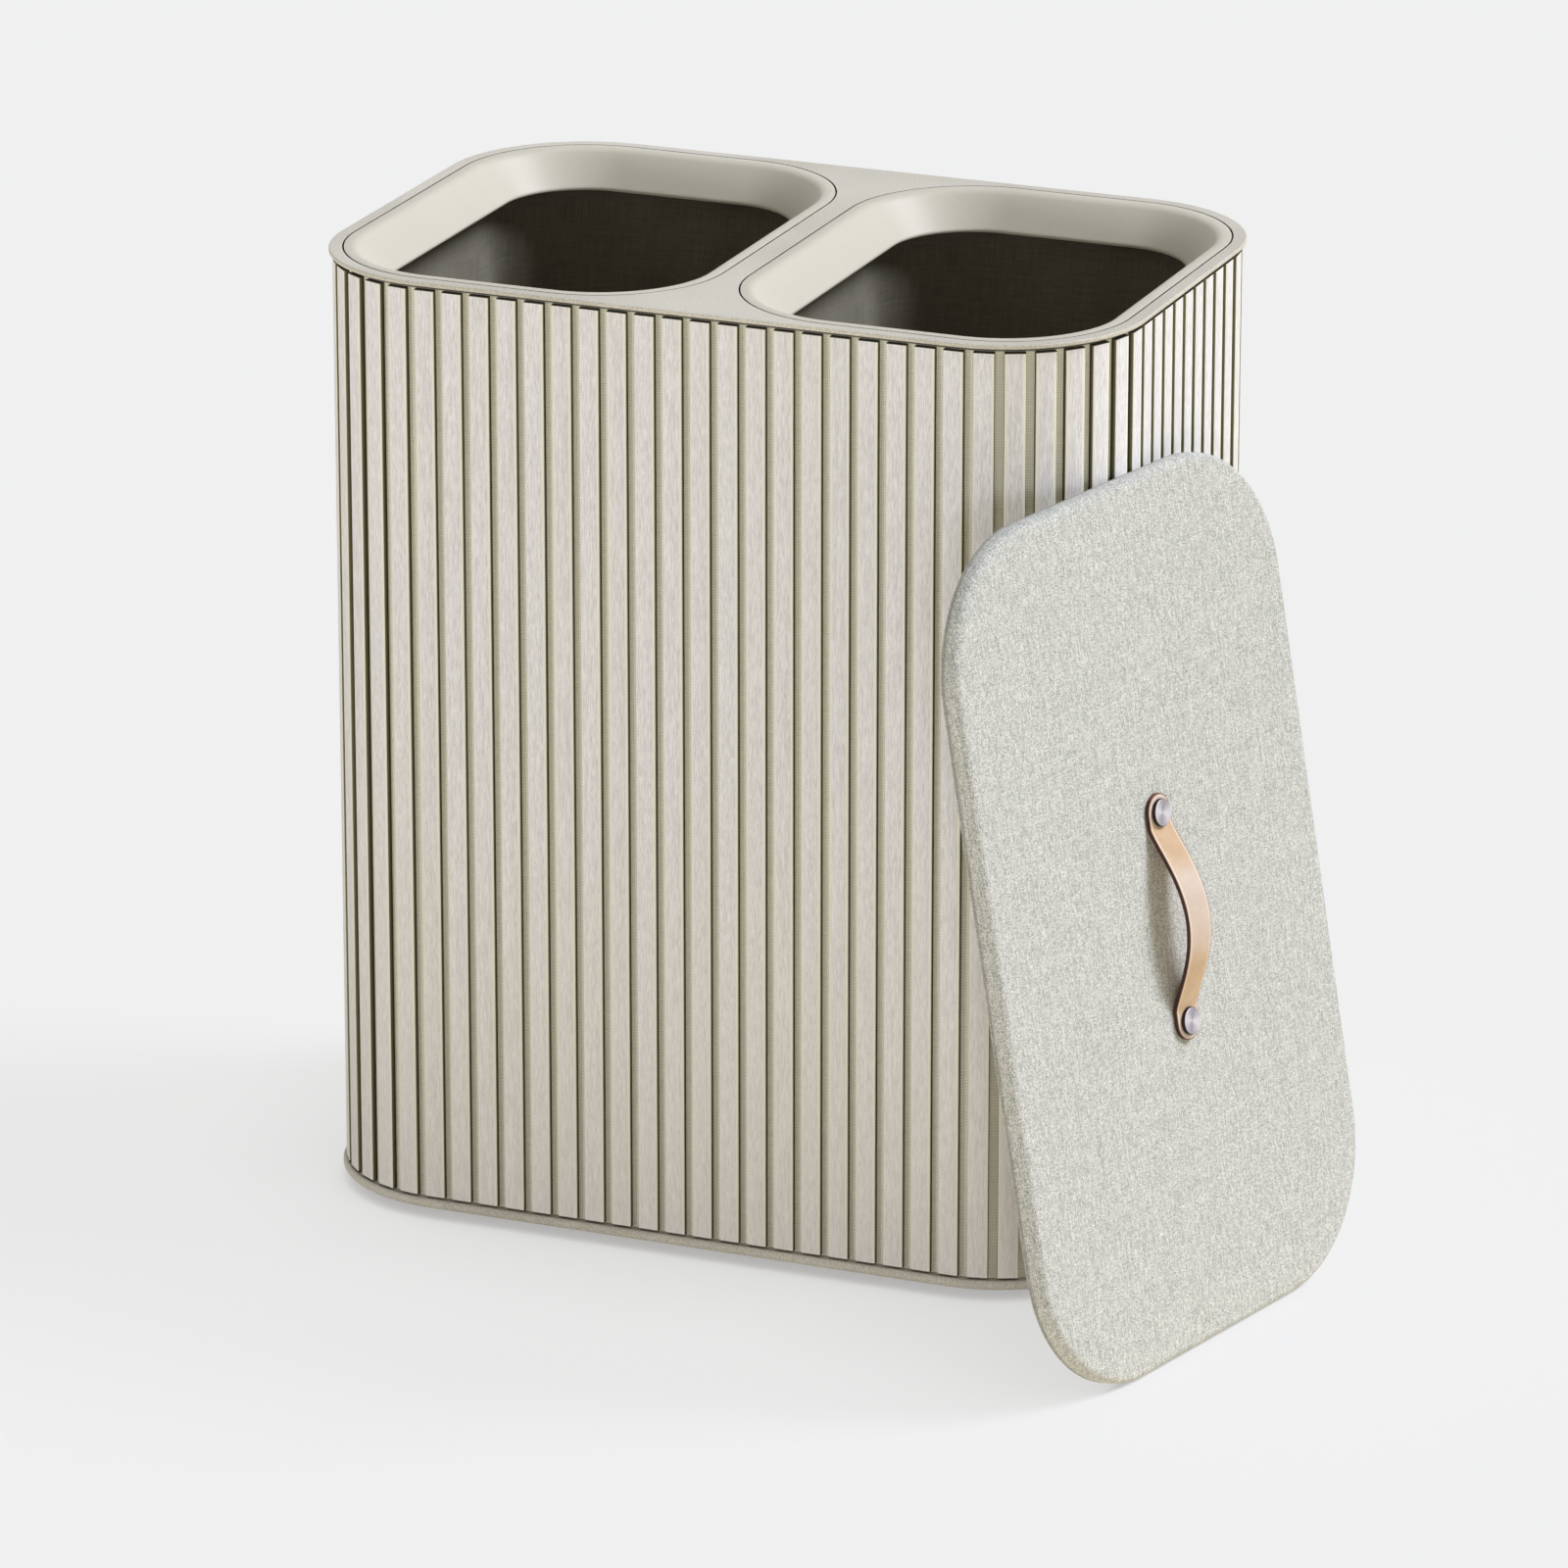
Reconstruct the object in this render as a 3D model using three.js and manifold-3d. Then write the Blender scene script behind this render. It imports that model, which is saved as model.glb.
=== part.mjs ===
import * as THREE from 'three';
import { mergeVertices } from 'three/addons/utils/BufferGeometryUtils.js';
import Module from 'manifold-3d';

const wasm = await Module();
wasm.setup();

// Laundry hamper with two lift-out bins and a loose fabric lid that leans on its side.
// Millimetres, +Z up, the floor at zero. The front is towards -Y.

// Body outline, at the faces of the slats
const slatFaceWidth = 578.2;
const slatFaceDepth = 378.5;
const slatFaceRadius = 96.6;
const overallHeight = 675;

// Slats on their textile backing
const slatPitch = 20;
const slatWidth = 14;
const slatThickness = 4;
const slatHeadGap = 3;
const slatFootGap = 1;
const textileThickness = 1;

// Carcass
const shellThickness = 4;
const dividerThickness = 4;
const rimOutset = 2.6;
const plateThickness = 3.1;
const plateEdgeRound = 0.9;
const deckThickness = 3;
const spigotWall = 3;
const spigotHeight = 22;
const baseRimHeight = 6.8;
const baseRimRound = 2;
const upstandHeight = 24;

// Feet
const footHeight = 8;
const footRadius = 13;
const footRound = 1.5;
const footInset = 27;
const footScrewHeadRadius = 4;
const footScrewHeadHeight = 2.2;
const footScrewShaftRadius = 2;
const footScrewBite = 4;
const footRecessDepth = 3.6;
const footRecessMargin = 1;

// Countersunk carcass screws
const screwHeadRadius = 3.6;
const screwHeadHeight = 1.8;
const screwShaftRadius = 1.6;
const screwTipCover = 0.8;

// Bins: a moulded collar, the hem ring under it, the bag, the bag's hoop and its bottom board
const collarInset = 10;
const collarWeb = 19;
const hairline = 0.8;
const flangeThickness = 2.8;
const collarWall = 2.4;
const collarEdgeRound = 0.5;
const collarFlat = 8;
const collarThroatInset = 30;
const collarThroatDrop = 25;
const collarLip = 2;
const collarRollShares = [0, 0.2, 0.4, 0.6, 0.8, 1];
const ledgeWidth = 5;
const hemRingInset = 6.2;
const hemRingWall = 2.4;
const hemRingDepth = 32;
const bagWall = 1.2;
const bagGroundClearance = 26;
const bagCornerRound = 14;
const hoopRadius = 1.5;
const hoopDrop = 24;
const boardThickness = 3;
const boardMargin = 1.5;

// Lid: a board in a fabric cover with a backing panel, and a leather strap
const lidLength = 583.4;
const lidDepth = 383.7;
const lidRadius = 99.2;
const coverThickness = 1;
const coreThickness = 11.4;
const backingThickness = 0.7;
const lidEdgeRound = 6;
const lidBackRound = 2;
const lidRoundShares = [0, 0.25, 0.5, 0.75, 1];
const hemWidth = 22;
const lidLeanDegrees = 10.26;
const lidTurnDegrees = -13.38;
const lidSideShift = -90;
const strapHoleSpacing = 144;
const strapSideShift = 7;
const strapEndShift = -2.5;
const strapWidth = 26;
const strapThickness = 2.8;
const strapBow = 20.5;
const strapFlatPastHole = 9;
const strapHeadRadius = 9.4;
const strapHeadHeight = 2.6;
const strapBoltRadius = 2.5;
const strapNutFlangeRadius = 7;
const strapNutFlangeHeight = 1.2;
const strapNutBarrelRadius = 4;
const strapNutWebHeight = 1;

// Fits shared by all pieces
const clearance = 0.3;
const runningGap = 0.8;
const cutOverrun = 5;
const joinOverlap = 0.4;

// Facet counts and pure ratios
const cornerSteps = 8;
const roundSides = 14;
const screwSides = 10;
const hoopSides = 6;
const strapSteps = 28;
const bowPower = 1.35;

const finish = {
  plate: new THREE.MeshStandardMaterial({ color: 0xdcd9cc, roughness: 0.45, metalness: 0 }),
  collar: new THREE.MeshStandardMaterial({ color: 0xdddacd, roughness: 0.4, metalness: 0 }),
  slats: new THREE.MeshStandardMaterial({ color: 0xd2cdc2, roughness: 0.6, metalness: 0 }),
  board: new THREE.MeshStandardMaterial({ color: 0xc9c4ae, roughness: 0.75, metalness: 0 }),
  rubber: new THREE.MeshStandardMaterial({ color: 0x101010, roughness: 0.85, metalness: 0 }),
  steel: new THREE.MeshStandardMaterial({ color: 0xb9b6bd, roughness: 0.3, metalness: 1 }),
  bag: new THREE.MeshStandardMaterial({ color: 0x6b6858, roughness: 0.95, metalness: 0 }),
  fabric: new THREE.MeshStandardMaterial({ color: 0xccd0c4, roughness: 0.95, metalness: 0 }),
  leather: new THREE.MeshStandardMaterial({ color: 0xdcb083, roughness: 0.55, metalness: 0 }),
};

// A level outline: a rectangle with round corners, drawn anticlockwise seen from above
const body = { width: slatFaceWidth, depth: slatFaceDepth, radius: slatFaceRadius, x: 0, y: 0 };

function outlineAt(shape, inset, z) {
  const radius = shape.radius - inset;
  const straightX = shape.width / 2 - shape.radius;
  const straightY = shape.depth / 2 - shape.radius;
  const points = [];
  for (let corner = 0; corner < 4; corner++) {
    const sideX = corner === 0 || corner === 3 ? 1 : -1;
    const sideY = corner < 2 ? 1 : -1;
    for (let step = 0; step <= cornerSteps; step++) {
      const angle = (corner + step / cornerSteps) * Math.PI / 2;
      const x = shape.x + sideX * straightX + radius * Math.cos(angle);
      const y = shape.y + sideY * straightY + radius * Math.sin(angle);
      points.push(new THREE.Vector3(x, y, z));
    }
  }
  return points;
}

// A point on such an outline, a distance along it from the middle of its back, and its outward normal
function alongOutline(shape, inset, distance) {
  const radius = shape.radius - inset;
  const halfX = shape.width / 2 - shape.radius;
  const sideY = shape.depth - 2 * shape.radius;
  const arc = radius * Math.PI / 2;
  const stretches = [halfX, arc, sideY, arc, 2 * halfX, arc, sideY, arc, halfX];
  let x = shape.x;
  let y = shape.y + shape.depth / 2 - inset;
  let heading = Math.PI;
  let left = distance;
  for (let index = 0; index < stretches.length; index++) {
    const run = Math.min(left, stretches[index]);
    if (index % 2 === 0) {
      x += run * Math.cos(heading);
      y += run * Math.sin(heading);
    } else {
      const turned = heading + run / radius;
      x += radius * (Math.sin(turned) - Math.sin(heading));
      y += radius * (Math.cos(heading) - Math.cos(turned));
      heading = turned;
    }
    left -= run;
    if (left <= 0) break;
  }
  return { x, y, normalX: Math.sin(heading), normalY: -Math.cos(heading) };
}

function outlineLength(shape, inset) {
  const straights = 2 * (shape.width - 2 * shape.radius) + 2 * (shape.depth - 2 * shape.radius);
  return straights + 2 * Math.PI * (shape.radius - inset);
}

// Joins outlines into one closed skin: capped at both ends, or run round into a ring
function loft(rings, isRing) {
  const count = rings[0].length;
  const positions = [];
  const index = [];
  for (const ring of rings) {
    for (const point of ring) positions.push(point.x, point.y, point.z);
  }
  const bands = isRing ? rings.length : rings.length - 1;
  for (let band = 0; band < bands; band++) {
    const low = band * count;
    const high = ((band + 1) % rings.length) * count;
    for (let side = 0; side < count; side++) {
      const next = (side + 1) % count;
      index.push(low + side, low + next, high + next);
      index.push(low + side, high + next, high + side);
    }
  }
  if (!isRing) {
    const ends = [rings[0], rings[rings.length - 1]];
    ends.forEach((ring, end) => {
      const middle = new THREE.Vector3();
      for (const point of ring) middle.addScaledVector(point, 1 / count);
      const centre = positions.length / 3;
      positions.push(middle.x, middle.y, middle.z);
      const first = end === 0 ? 0 : (rings.length - 1) * count;
      for (let side = 0; side < count; side++) {
        const next = (side + 1) % count;
        if (end === 0) index.push(centre, first + next, first + side);
        else index.push(centre, first + side, first + next);
      }
    });
  }
  const geometry = new THREE.BufferGeometry();
  geometry.setAttribute('position', new THREE.Float32BufferAttribute(positions, 3));
  geometry.setIndex(index);
  return geometry;
}

// Loft levels are written as pairs of inset and height
function loftLevels(shape, levels, isRing) {
  return loft(levels.map(([inset, z]) => outlineAt(shape, inset, z)), isRing);
}

function toSolid(geometry) {
  const plain = geometry.clone();
  plain.deleteAttribute('normal');
  plain.deleteAttribute('uv');
  const merged = mergeVertices(plain, clearance / 1000);
  const source = merged.index.array;
  const corners = [];
  for (let index = 0; index < source.length; index += 3) {
    const [a, b, c] = [source[index], source[index + 1], source[index + 2]];
    if (a !== b && b !== c && c !== a) corners.push(a, b, c);
  }
  return new wasm.Manifold(new wasm.Mesh({
    numProp: 3,
    vertProperties: new Float32Array(merged.attributes.position.array),
    triVerts: new Uint32Array(corners),
  }));
}

function toGeometry(solid) {
  const mesh = solid.getMesh();
  const geometry = new THREE.BufferGeometry();
  geometry.setAttribute('position', new THREE.BufferAttribute(mesh.vertProperties, 3));
  geometry.setIndex(new THREE.BufferAttribute(mesh.triVerts, 1));
  return geometry;
}

function slab(shape, inset, bottom, top) {
  return toSolid(loftLevels(shape, [[inset, bottom], [inset, top]], false));
}

function ring(shape, outerInset, innerInset, bottom, top) {
  const levels = [[outerInset, bottom], [outerInset, top], [innerInset, top], [innerInset, bottom]];
  return toSolid(loftLevels(shape, levels, true));
}

function addMesh(parent, name, geometry, material) {
  geometry.computeVertexNormals();
  const mesh = new THREE.Mesh(geometry, material);
  mesh.name = name;
  parent.add(mesh);
  return mesh;
}

// Heights up the carcass
const baseBottom = footHeight;
const baseTop = baseBottom + baseRimHeight;
const plateTop = overallHeight;
const plateBottom = plateTop - plateThickness;
const deckBottom = plateBottom - deckThickness;
const slatBottom = baseTop + slatFootGap;
const slatTop = plateBottom - slatHeadGap;
const wallBottom = baseTop + clearance;
const wallTop = plateBottom - clearance;

// Insets of each layer, inwards from the slat faces
const textileOuter = slatThickness;
const textileInner = textileOuter + textileThickness;
const shellOuter = textileInner + clearance;
const shellInner = shellOuter + shellThickness;
const spigotOuter = shellInner + clearance;
const spigotInner = spigotOuter + spigotWall;

const hamper = new THREE.Group();

// The wrap: upright slats glued side by side to one textile sheet, which goes once round the carcass
function wrapOutlines() {
  const length = outlineLength(body, textileOuter);
  const count = Math.round(length / slatPitch);
  const pitch = length / count;
  const crenels = [];
  const sheet = [];
  for (let slat = 0; slat < count; slat++) {
    const middle = alongOutline(body, textileOuter, (slat + 1) * pitch - slatWidth / 2);
    for (const side of [-1, 1]) {
      const alongX = -middle.normalY * side * slatWidth / 2;
      const alongY = middle.normalX * side * slatWidth / 2;
      const foot = new THREE.Vector2(middle.x + alongX, middle.y + alongY);
      const face = foot.clone();
      face.x += middle.normalX * slatThickness;
      face.y += middle.normalY * slatThickness;
      sheet.push(foot);
      if (side < 0) crenels.push(foot, face);
      else crenels.push(face, foot);
    }
  }
  return { crenels, sheet };
}

function extrudeBand(outer, bottom, top) {
  const shape = new THREE.Shape(outer);
  const inner = outlineAt(body, textileInner, 0).map((point) => new THREE.Vector2(point.x, point.y));
  shape.holes.push(new THREE.Path(inner.reverse()));
  const geometry = new THREE.ExtrudeGeometry(shape, { depth: top - bottom, bevelEnabled: false });
  geometry.translate(0, 0, bottom);
  return toSolid(geometry);
}

const outlines = wrapOutlines();
const slats = extrudeBand(outlines.crenels, slatBottom, slatTop);
const textile = extrudeBand(outlines.sheet, wallBottom, wallTop);
addMesh(hamper, 'slat_wrap', toGeometry(slats.add(textile)), finish.slats);

// Countersunk screws, driven outwards from inside the spigot or the upstand into the shell
const screwLength = spigotWall + clearance + shellThickness - screwTipCover;

function countersunkProfile(extra, mouth) {
  return [
    new THREE.Vector2(0, -mouth),
    new THREE.Vector2(screwHeadRadius + extra, -mouth),
    new THREE.Vector2(screwHeadRadius + extra, extra),
    new THREE.Vector2(screwShaftRadius + extra, screwHeadHeight + extra),
    new THREE.Vector2(screwShaftRadius + extra, screwLength + extra),
    new THREE.Vector2(0, screwLength + extra),
  ];
}

function turned(profile, sides) {
  return toGeometry(toSolid(new THREE.LatheGeometry(profile, sides)));
}

const binWidth = (slatFaceWidth + 2 * rimOutset - 2 * collarInset - collarWeb) / 2;
const binMiddle = (binWidth + collarWeb) / 2;

function screwPlaces(z) {
  const front = slatFaceDepth / 2 - spigotInner;
  const side = slatFaceWidth / 2 - spigotInner;
  return [
    { name: 'front_left', x: -binMiddle, y: -front, z, alongX: 0, alongY: -1 },
    { name: 'front_right', x: binMiddle, y: -front, z, alongX: 0, alongY: -1 },
    { name: 'rear_left', x: -binMiddle, y: front, z, alongX: 0, alongY: 1 },
    { name: 'rear_right', x: binMiddle, y: front, z, alongX: 0, alongY: 1 },
    { name: 'left', x: -side, y: 0, z, alongX: -1, alongY: 0 },
    { name: 'right', x: side, y: 0, z, alongX: 1, alongY: 0 },
  ];
}

function aim(place) {
  const along = new THREE.Vector3(place.alongX, place.alongY, 0);
  return new THREE.Quaternion().setFromUnitVectors(new THREE.Vector3(0, 1, 0), along);
}

const topScrews = screwPlaces(deckBottom - spigotHeight / 2);
const baseScrews = screwPlaces(baseTop + upstandHeight / 2);

function drill(solid, places) {
  let result = solid;
  for (const place of places) {
    const cutter = turned(countersunkProfile(clearance, clearance), screwSides);
    cutter.applyQuaternion(aim(place));
    cutter.translate(place.x, place.y, place.z);
    result = result.subtract(toSolid(cutter));
  }
  return result;
}

function addScrews(prefix, places) {
  for (const place of places) {
    const geometry = turned(countersunkProfile(0, 0), screwSides);
    const mesh = addMesh(hamper, `${prefix}_${place.name}`, geometry, finish.steel);
    mesh.quaternion.copy(aim(place));
    mesh.position.set(place.x, place.y, place.z);
  }
}

addScrews('frame_screw', topScrews);
addScrews('base_screw', baseScrews);

// The shell: two bent boards that meet at the middle of the front and of the back
function halfShell(side) {
  let shell = ring(body, shellOuter, shellInner, wallBottom, wallTop);
  const cutWidth = slatFaceWidth;
  const cutDepth = slatFaceDepth + 2 * cutOverrun;
  const cutHeight = overallHeight + 2 * cutOverrun;
  const box = new THREE.BoxGeometry(cutWidth, cutDepth, cutHeight);
  box.translate(-side * (cutWidth / 2 - clearance / 2), 0, overallHeight / 2);
  shell = shell.subtract(toSolid(box));
  return drill(drill(shell, topScrews), baseScrews);
}

addMesh(hamper, 'shell_left', toGeometry(halfShell(-1)), finish.board);
addMesh(hamper, 'shell_right', toGeometry(halfShell(1)), finish.board);

// The top frame: one moulding with two openings, a ledge round each and a spigot that plugs into the shell
function binShape(side) {
  return {
    width: binWidth,
    depth: slatFaceDepth + 2 * rimOutset - 2 * collarInset,
    radius: slatFaceRadius + rimOutset - collarInset,
    x: side * binMiddle,
    y: 0,
  };
}

function roundedSlab(outset, bottom, top, round) {
  return toSolid(loftLevels(body, [
    [round - outset, bottom],
    [-outset, bottom + round],
    [-outset, top - round],
    [round - outset, top],
  ], false));
}

let frame = roundedSlab(rimOutset, plateBottom, plateTop, plateEdgeRound);
frame = frame.add(slab(body, spigotOuter, deckBottom - spigotHeight, plateBottom + joinOverlap));
frame = frame.subtract(slab(body, spigotInner, deckBottom - spigotHeight - cutOverrun, deckBottom));
for (const side of [-1, 1]) {
  const shape = binShape(side);
  frame = frame.subtract(slab(shape, -hairline / 2, plateBottom, plateTop + cutOverrun));
  frame = frame.subtract(slab(shape, ledgeWidth, deckBottom - cutOverrun, plateTop + cutOverrun));
}
addMesh(hamper, 'top_frame', toGeometry(drill(frame, topScrews)), finish.plate);

// The base: a rim with round edges and an upstand inside the shell
const footPlaces = [];
for (const [name, sideX, sideY] of [
  ['front_left', -1, -1], ['front_right', 1, -1], ['rear_left', -1, 1], ['rear_right', 1, 1],
]) {
  const reach = (slatFaceRadius - footInset) * Math.SQRT1_2;
  footPlaces.push({
    name,
    x: sideX * (slatFaceWidth / 2 - slatFaceRadius + reach),
    y: sideY * (slatFaceDepth / 2 - slatFaceRadius + reach),
  });
}

let base = roundedSlab(rimOutset, baseBottom, baseTop, baseRimRound);
base = base.add(ring(body, spigotOuter, spigotInner, baseTop - joinOverlap, baseTop + upstandHeight));
base = drill(base, baseScrews);
for (const place of footPlaces) {
  const bore = new THREE.CylinderGeometry(
    footScrewShaftRadius + clearance, footScrewShaftRadius + clearance,
    2 * (footScrewBite + clearance), roundSides,
  );
  bore.rotateX(Math.PI / 2);
  bore.translate(place.x, place.y, baseBottom);
  base = base.subtract(toSolid(bore));
}
addMesh(hamper, 'base_tray', toGeometry(base), finish.plate);

// Rubber feet, each recessed below for the head of its screw
function footProfile() {
  const top = footHeight - clearance;
  const bore = footScrewShaftRadius + clearance;
  const recess = footScrewHeadRadius + footRecessMargin;
  return [
    new THREE.Vector2(bore, footRecessDepth),
    new THREE.Vector2(recess, footRecessDepth),
    new THREE.Vector2(recess, 0),
    new THREE.Vector2(footRadius - footRound, 0),
    new THREE.Vector2(footRadius, footRound),
    new THREE.Vector2(footRadius, top),
    new THREE.Vector2(bore, top),
    new THREE.Vector2(bore, footRecessDepth),
  ];
}

function footScrewProfile() {
  const seat = footRecessDepth - clearance;
  return [
    new THREE.Vector2(0, seat - footScrewHeadHeight),
    new THREE.Vector2(footScrewHeadRadius, seat - footScrewHeadHeight),
    new THREE.Vector2(footScrewHeadRadius, seat),
    new THREE.Vector2(footScrewShaftRadius, seat),
    new THREE.Vector2(footScrewShaftRadius, baseBottom + footScrewBite),
    new THREE.Vector2(0, baseBottom + footScrewBite),
  ];
}

for (const place of footPlaces) {
  const foot = turned(footProfile(), roundSides);
  const screw = turned(footScrewProfile(), screwSides);
  for (const [prefix, geometry, material] of [
    ['foot', foot, finish.rubber], ['foot_screw', screw, finish.steel],
  ]) {
    geometry.rotateX(Math.PI / 2);
    const mesh = addMesh(hamper, `${prefix}_${place.name}`, geometry, material);
    mesh.position.set(place.x, place.y, 0);
  }
}

// The divider stands on the base between the bins and reaches from front shell to back shell
const dividerDepth = slatFaceDepth - 2 * spigotInner - 2 * clearance;
const dividerBottom = baseTop + clearance;
const dividerTop = deckBottom - clearance;
const divider = new THREE.BoxGeometry(dividerThickness, dividerDepth, dividerTop - dividerBottom);
const dividerMesh = addMesh(hamper, 'divider_panel', divider, finish.board);
dividerMesh.position.set(0, 0, (dividerTop + dividerBottom) / 2);

// A bin's collar: a flange that lies on the ledge and a rolled funnel inside it
function collarLevels() {
  const level = (inset, drop) => [inset, plateTop - drop];
  const rollOut = collarThroatInset - collarFlat;
  const levels = [
    level(0, flangeThickness),
    level(0, collarEdgeRound),
    level(collarEdgeRound, 0),
  ];
  for (const share of collarRollShares) {
    const angle = share * Math.PI / 2;
    const inset = collarFlat + rollOut * Math.sin(angle);
    levels.push(level(inset, collarThroatDrop * (1 - Math.cos(angle))));
  }
  levels.push(level(collarThroatInset, collarThroatDrop + collarLip));
  levels.push(level(collarThroatInset - collarWall, collarThroatDrop + collarLip));
  for (const share of collarRollShares.toReversed()) {
    const angle = share * Math.PI / 2;
    const inset = collarFlat + (rollOut - collarWall) * Math.sin(angle);
    const drop = flangeThickness + (collarThroatDrop - flangeThickness) * (1 - Math.cos(angle));
    levels.push(level(inset, drop));
  }
  return levels;
}

// The hem ring is glued under the collar's flange, and the bag's hem is pressed against its inside
function hemRingLevels() {
  const ringTop = plateTop - flangeThickness - clearance;
  const ringBottom = plateTop - hemRingDepth;
  return [
    [hemRingInset, ringBottom],
    [hemRingInset, ringTop],
    [hemRingInset + hemRingWall, ringTop],
    [hemRingInset + hemRingWall, ringBottom],
  ];
}

// The bag hangs in the hem ring, its hem between the ring and the hoop. Its bottom panel is sewn to the
// wall panel where the bottom's edge has turned up
const bagInset = hemRingInset + hemRingWall + clearance;
const bagInner = bagInset + bagWall;
const bagTop = plateTop - flangeThickness - runningGap;
const bagBottom = baseTop + bagGroundClearance;
const bagSeam = bagBottom + bagCornerRound;

function bagWallLevels() {
  const wallBottom = bagSeam + clearance;
  return [
    [bagInset, wallBottom],
    [bagInset, bagTop],
    [bagInner, bagTop],
    [bagInner, wallBottom],
  ];
}

function bagBottomLevels() {
  return [
    [bagInset + bagCornerRound, bagBottom],
    [bagInset, bagSeam],
    [bagInner, bagSeam],
    [bagInset + bagCornerRound, bagBottom + bagWall],
  ];
}

function hoopLevels() {
  const inset = bagInner + clearance + hoopRadius;
  const levels = [];
  for (let side = 0; side < hoopSides; side++) {
    const angle = -side / hoopSides * 2 * Math.PI;
    const drop = hoopDrop - hoopRadius * Math.sin(angle);
    levels.push([inset - hoopRadius * Math.cos(angle), plateTop - drop]);
  }
  return levels.reverse();
}

function boardLevels() {
  const inset = bagInset + bagCornerRound + boardMargin;
  const bottom = bagBottom + bagWall + clearance;
  return [[inset, bottom], [inset, bottom + boardThickness]];
}

for (const [name, side] of [['left', -1], ['right', 1]]) {
  const shape = binShape(side);
  addMesh(hamper, `collar_${name}`, loftLevels(shape, collarLevels(), true), finish.collar);
  addMesh(hamper, `hem_ring_${name}`, loftLevels(shape, hemRingLevels(), true), finish.collar);
  addMesh(hamper, `bag_${name}`, loftLevels(shape, bagWallLevels(), true), finish.bag);
  addMesh(hamper, `bag_bottom_${name}`, loftLevels(shape, bagBottomLevels(), false), finish.bag);
  addMesh(hamper, `bag_hoop_${name}`, loftLevels(shape, hoopLevels(), true), finish.steel);
  addMesh(hamper, `bag_board_${name}`, loftLevels(shape, boardLevels(), false), finish.board);
}

// The lid, built lying face up: X across it, Y along it from its lower end, Z out of its face
const lidShape = { width: lidDepth, depth: lidLength, radius: lidRadius, x: 0, y: lidLength / 2 };
const coreBottom = coverThickness + clearance;
const coreTop = coreBottom + coreThickness;
const lidFace = coreTop + clearance + coverThickness;
const coreInset = coverThickness + clearance;

const lid = new THREE.Group();
hamper.add(lid);

// A quarter round from the side of the lid up onto its face, at a given depth under the cloth's surface
function edgeRound(depth) {
  return lidRoundShares.map((share) => {
    const angle = share * Math.PI / 2;
    const radius = lidEdgeRound - depth;
    return [lidEdgeRound - radius * Math.cos(angle), lidFace - lidEdgeRound + radius * Math.sin(angle)];
  });
}

function coverLevels() {
  return [
    [hemWidth, 0],
    [lidBackRound, 0],
    [0, lidBackRound],
    ...edgeRound(0),
    [hemWidth, lidFace],
    [hemWidth, lidFace - coverThickness],
    ...edgeRound(coverThickness).reverse(),
    [coverThickness, lidBackRound],
    [lidBackRound, coverThickness],
    [hemWidth, coverThickness],
  ];
}

// The cover is one sheet: its rim is a ring, and its face closes the ring across the front
const coverFace = slab(lidShape, hemWidth - joinOverlap, lidFace - coverThickness, lidFace);
let cover = toSolid(loftLevels(lidShape, coverLevels(), true)).add(coverFace);

function coreLevels() {
  return [
    [coreInset + lidBackRound, coreBottom],
    [coreInset, coreBottom + lidBackRound],
    ...edgeRound(coreInset),
  ];
}

let core = toSolid(loftLevels(lidShape, coreLevels(), false));
const backingInset = hemWidth + clearance;
const backingTop = coreBottom - clearance;
const backing = slab(lidShape, backingInset, backingTop - backingThickness, backingTop);

// The strap lies flat at its screws and bows out between them
const strapEndRadius = strapWidth / 2;
const strapSeat = lidFace + clearance;
const strapSpan = strapHoleSpacing / 2 - strapFlatPastHole;
const strapHalf = strapHoleSpacing / 2 + strapEndRadius;
const strapMiddle = lidLength / 2 + strapEndShift;

function strapHeight(y) {
  const share = Math.min(1, Math.abs(y) / strapSpan);
  return strapBow * (1 - share ** 2) ** bowPower;
}

function strapSolid() {
  const lower = [];
  const upper = [];
  for (let step = 0; step <= strapSteps; step++) {
    const y = strapSpan * (2 * step / strapSteps - 1);
    const probe = strapSpan / strapSteps / 2;
    const slope = (strapHeight(y + probe) - strapHeight(y - probe)) / (2 * probe);
    const turn = Math.atan(slope);
    const z = strapSeat + strapHeight(y);
    lower.push(new THREE.Vector2(y, z));
    upper.push(new THREE.Vector2(
      y - strapThickness * Math.sin(turn), z + strapThickness * Math.cos(turn),
    ));
  }
  lower.unshift(new THREE.Vector2(-strapHalf, strapSeat));
  lower.push(new THREE.Vector2(strapHalf, strapSeat));
  upper.unshift(new THREE.Vector2(-strapHalf, strapSeat + strapThickness));
  upper.push(new THREE.Vector2(strapHalf, strapSeat + strapThickness));
  const side = new THREE.Shape([...lower, ...upper.reverse()]);
  const band = new THREE.ExtrudeGeometry(side, { depth: strapWidth, bevelEnabled: false });
  band.translate(0, 0, -strapWidth / 2);
  const across = new THREE.Vector3(1, 0, 0);
  const along = new THREE.Vector3(0, 1, 0);
  const out = new THREE.Vector3(0, 0, 1);
  band.applyMatrix4(new THREE.Matrix4().makeBasis(along, out, across));

  const plan = new THREE.Shape();
  plan.absarc(0, strapHoleSpacing / 2, strapEndRadius, 0, Math.PI);
  plan.absarc(0, -strapHoleSpacing / 2, strapEndRadius, Math.PI, 2 * Math.PI);
  const cookie = new THREE.ExtrudeGeometry(plan, {
    depth: strapBow + 2 * strapThickness + 2 * cutOverrun, bevelEnabled: false, curveSegments: roundSides / 2,
  });
  cookie.translate(0, 0, lidFace - cutOverrun);
  return toSolid(band).intersect(toSolid(cookie));
}

let strap = strapSolid();

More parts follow.
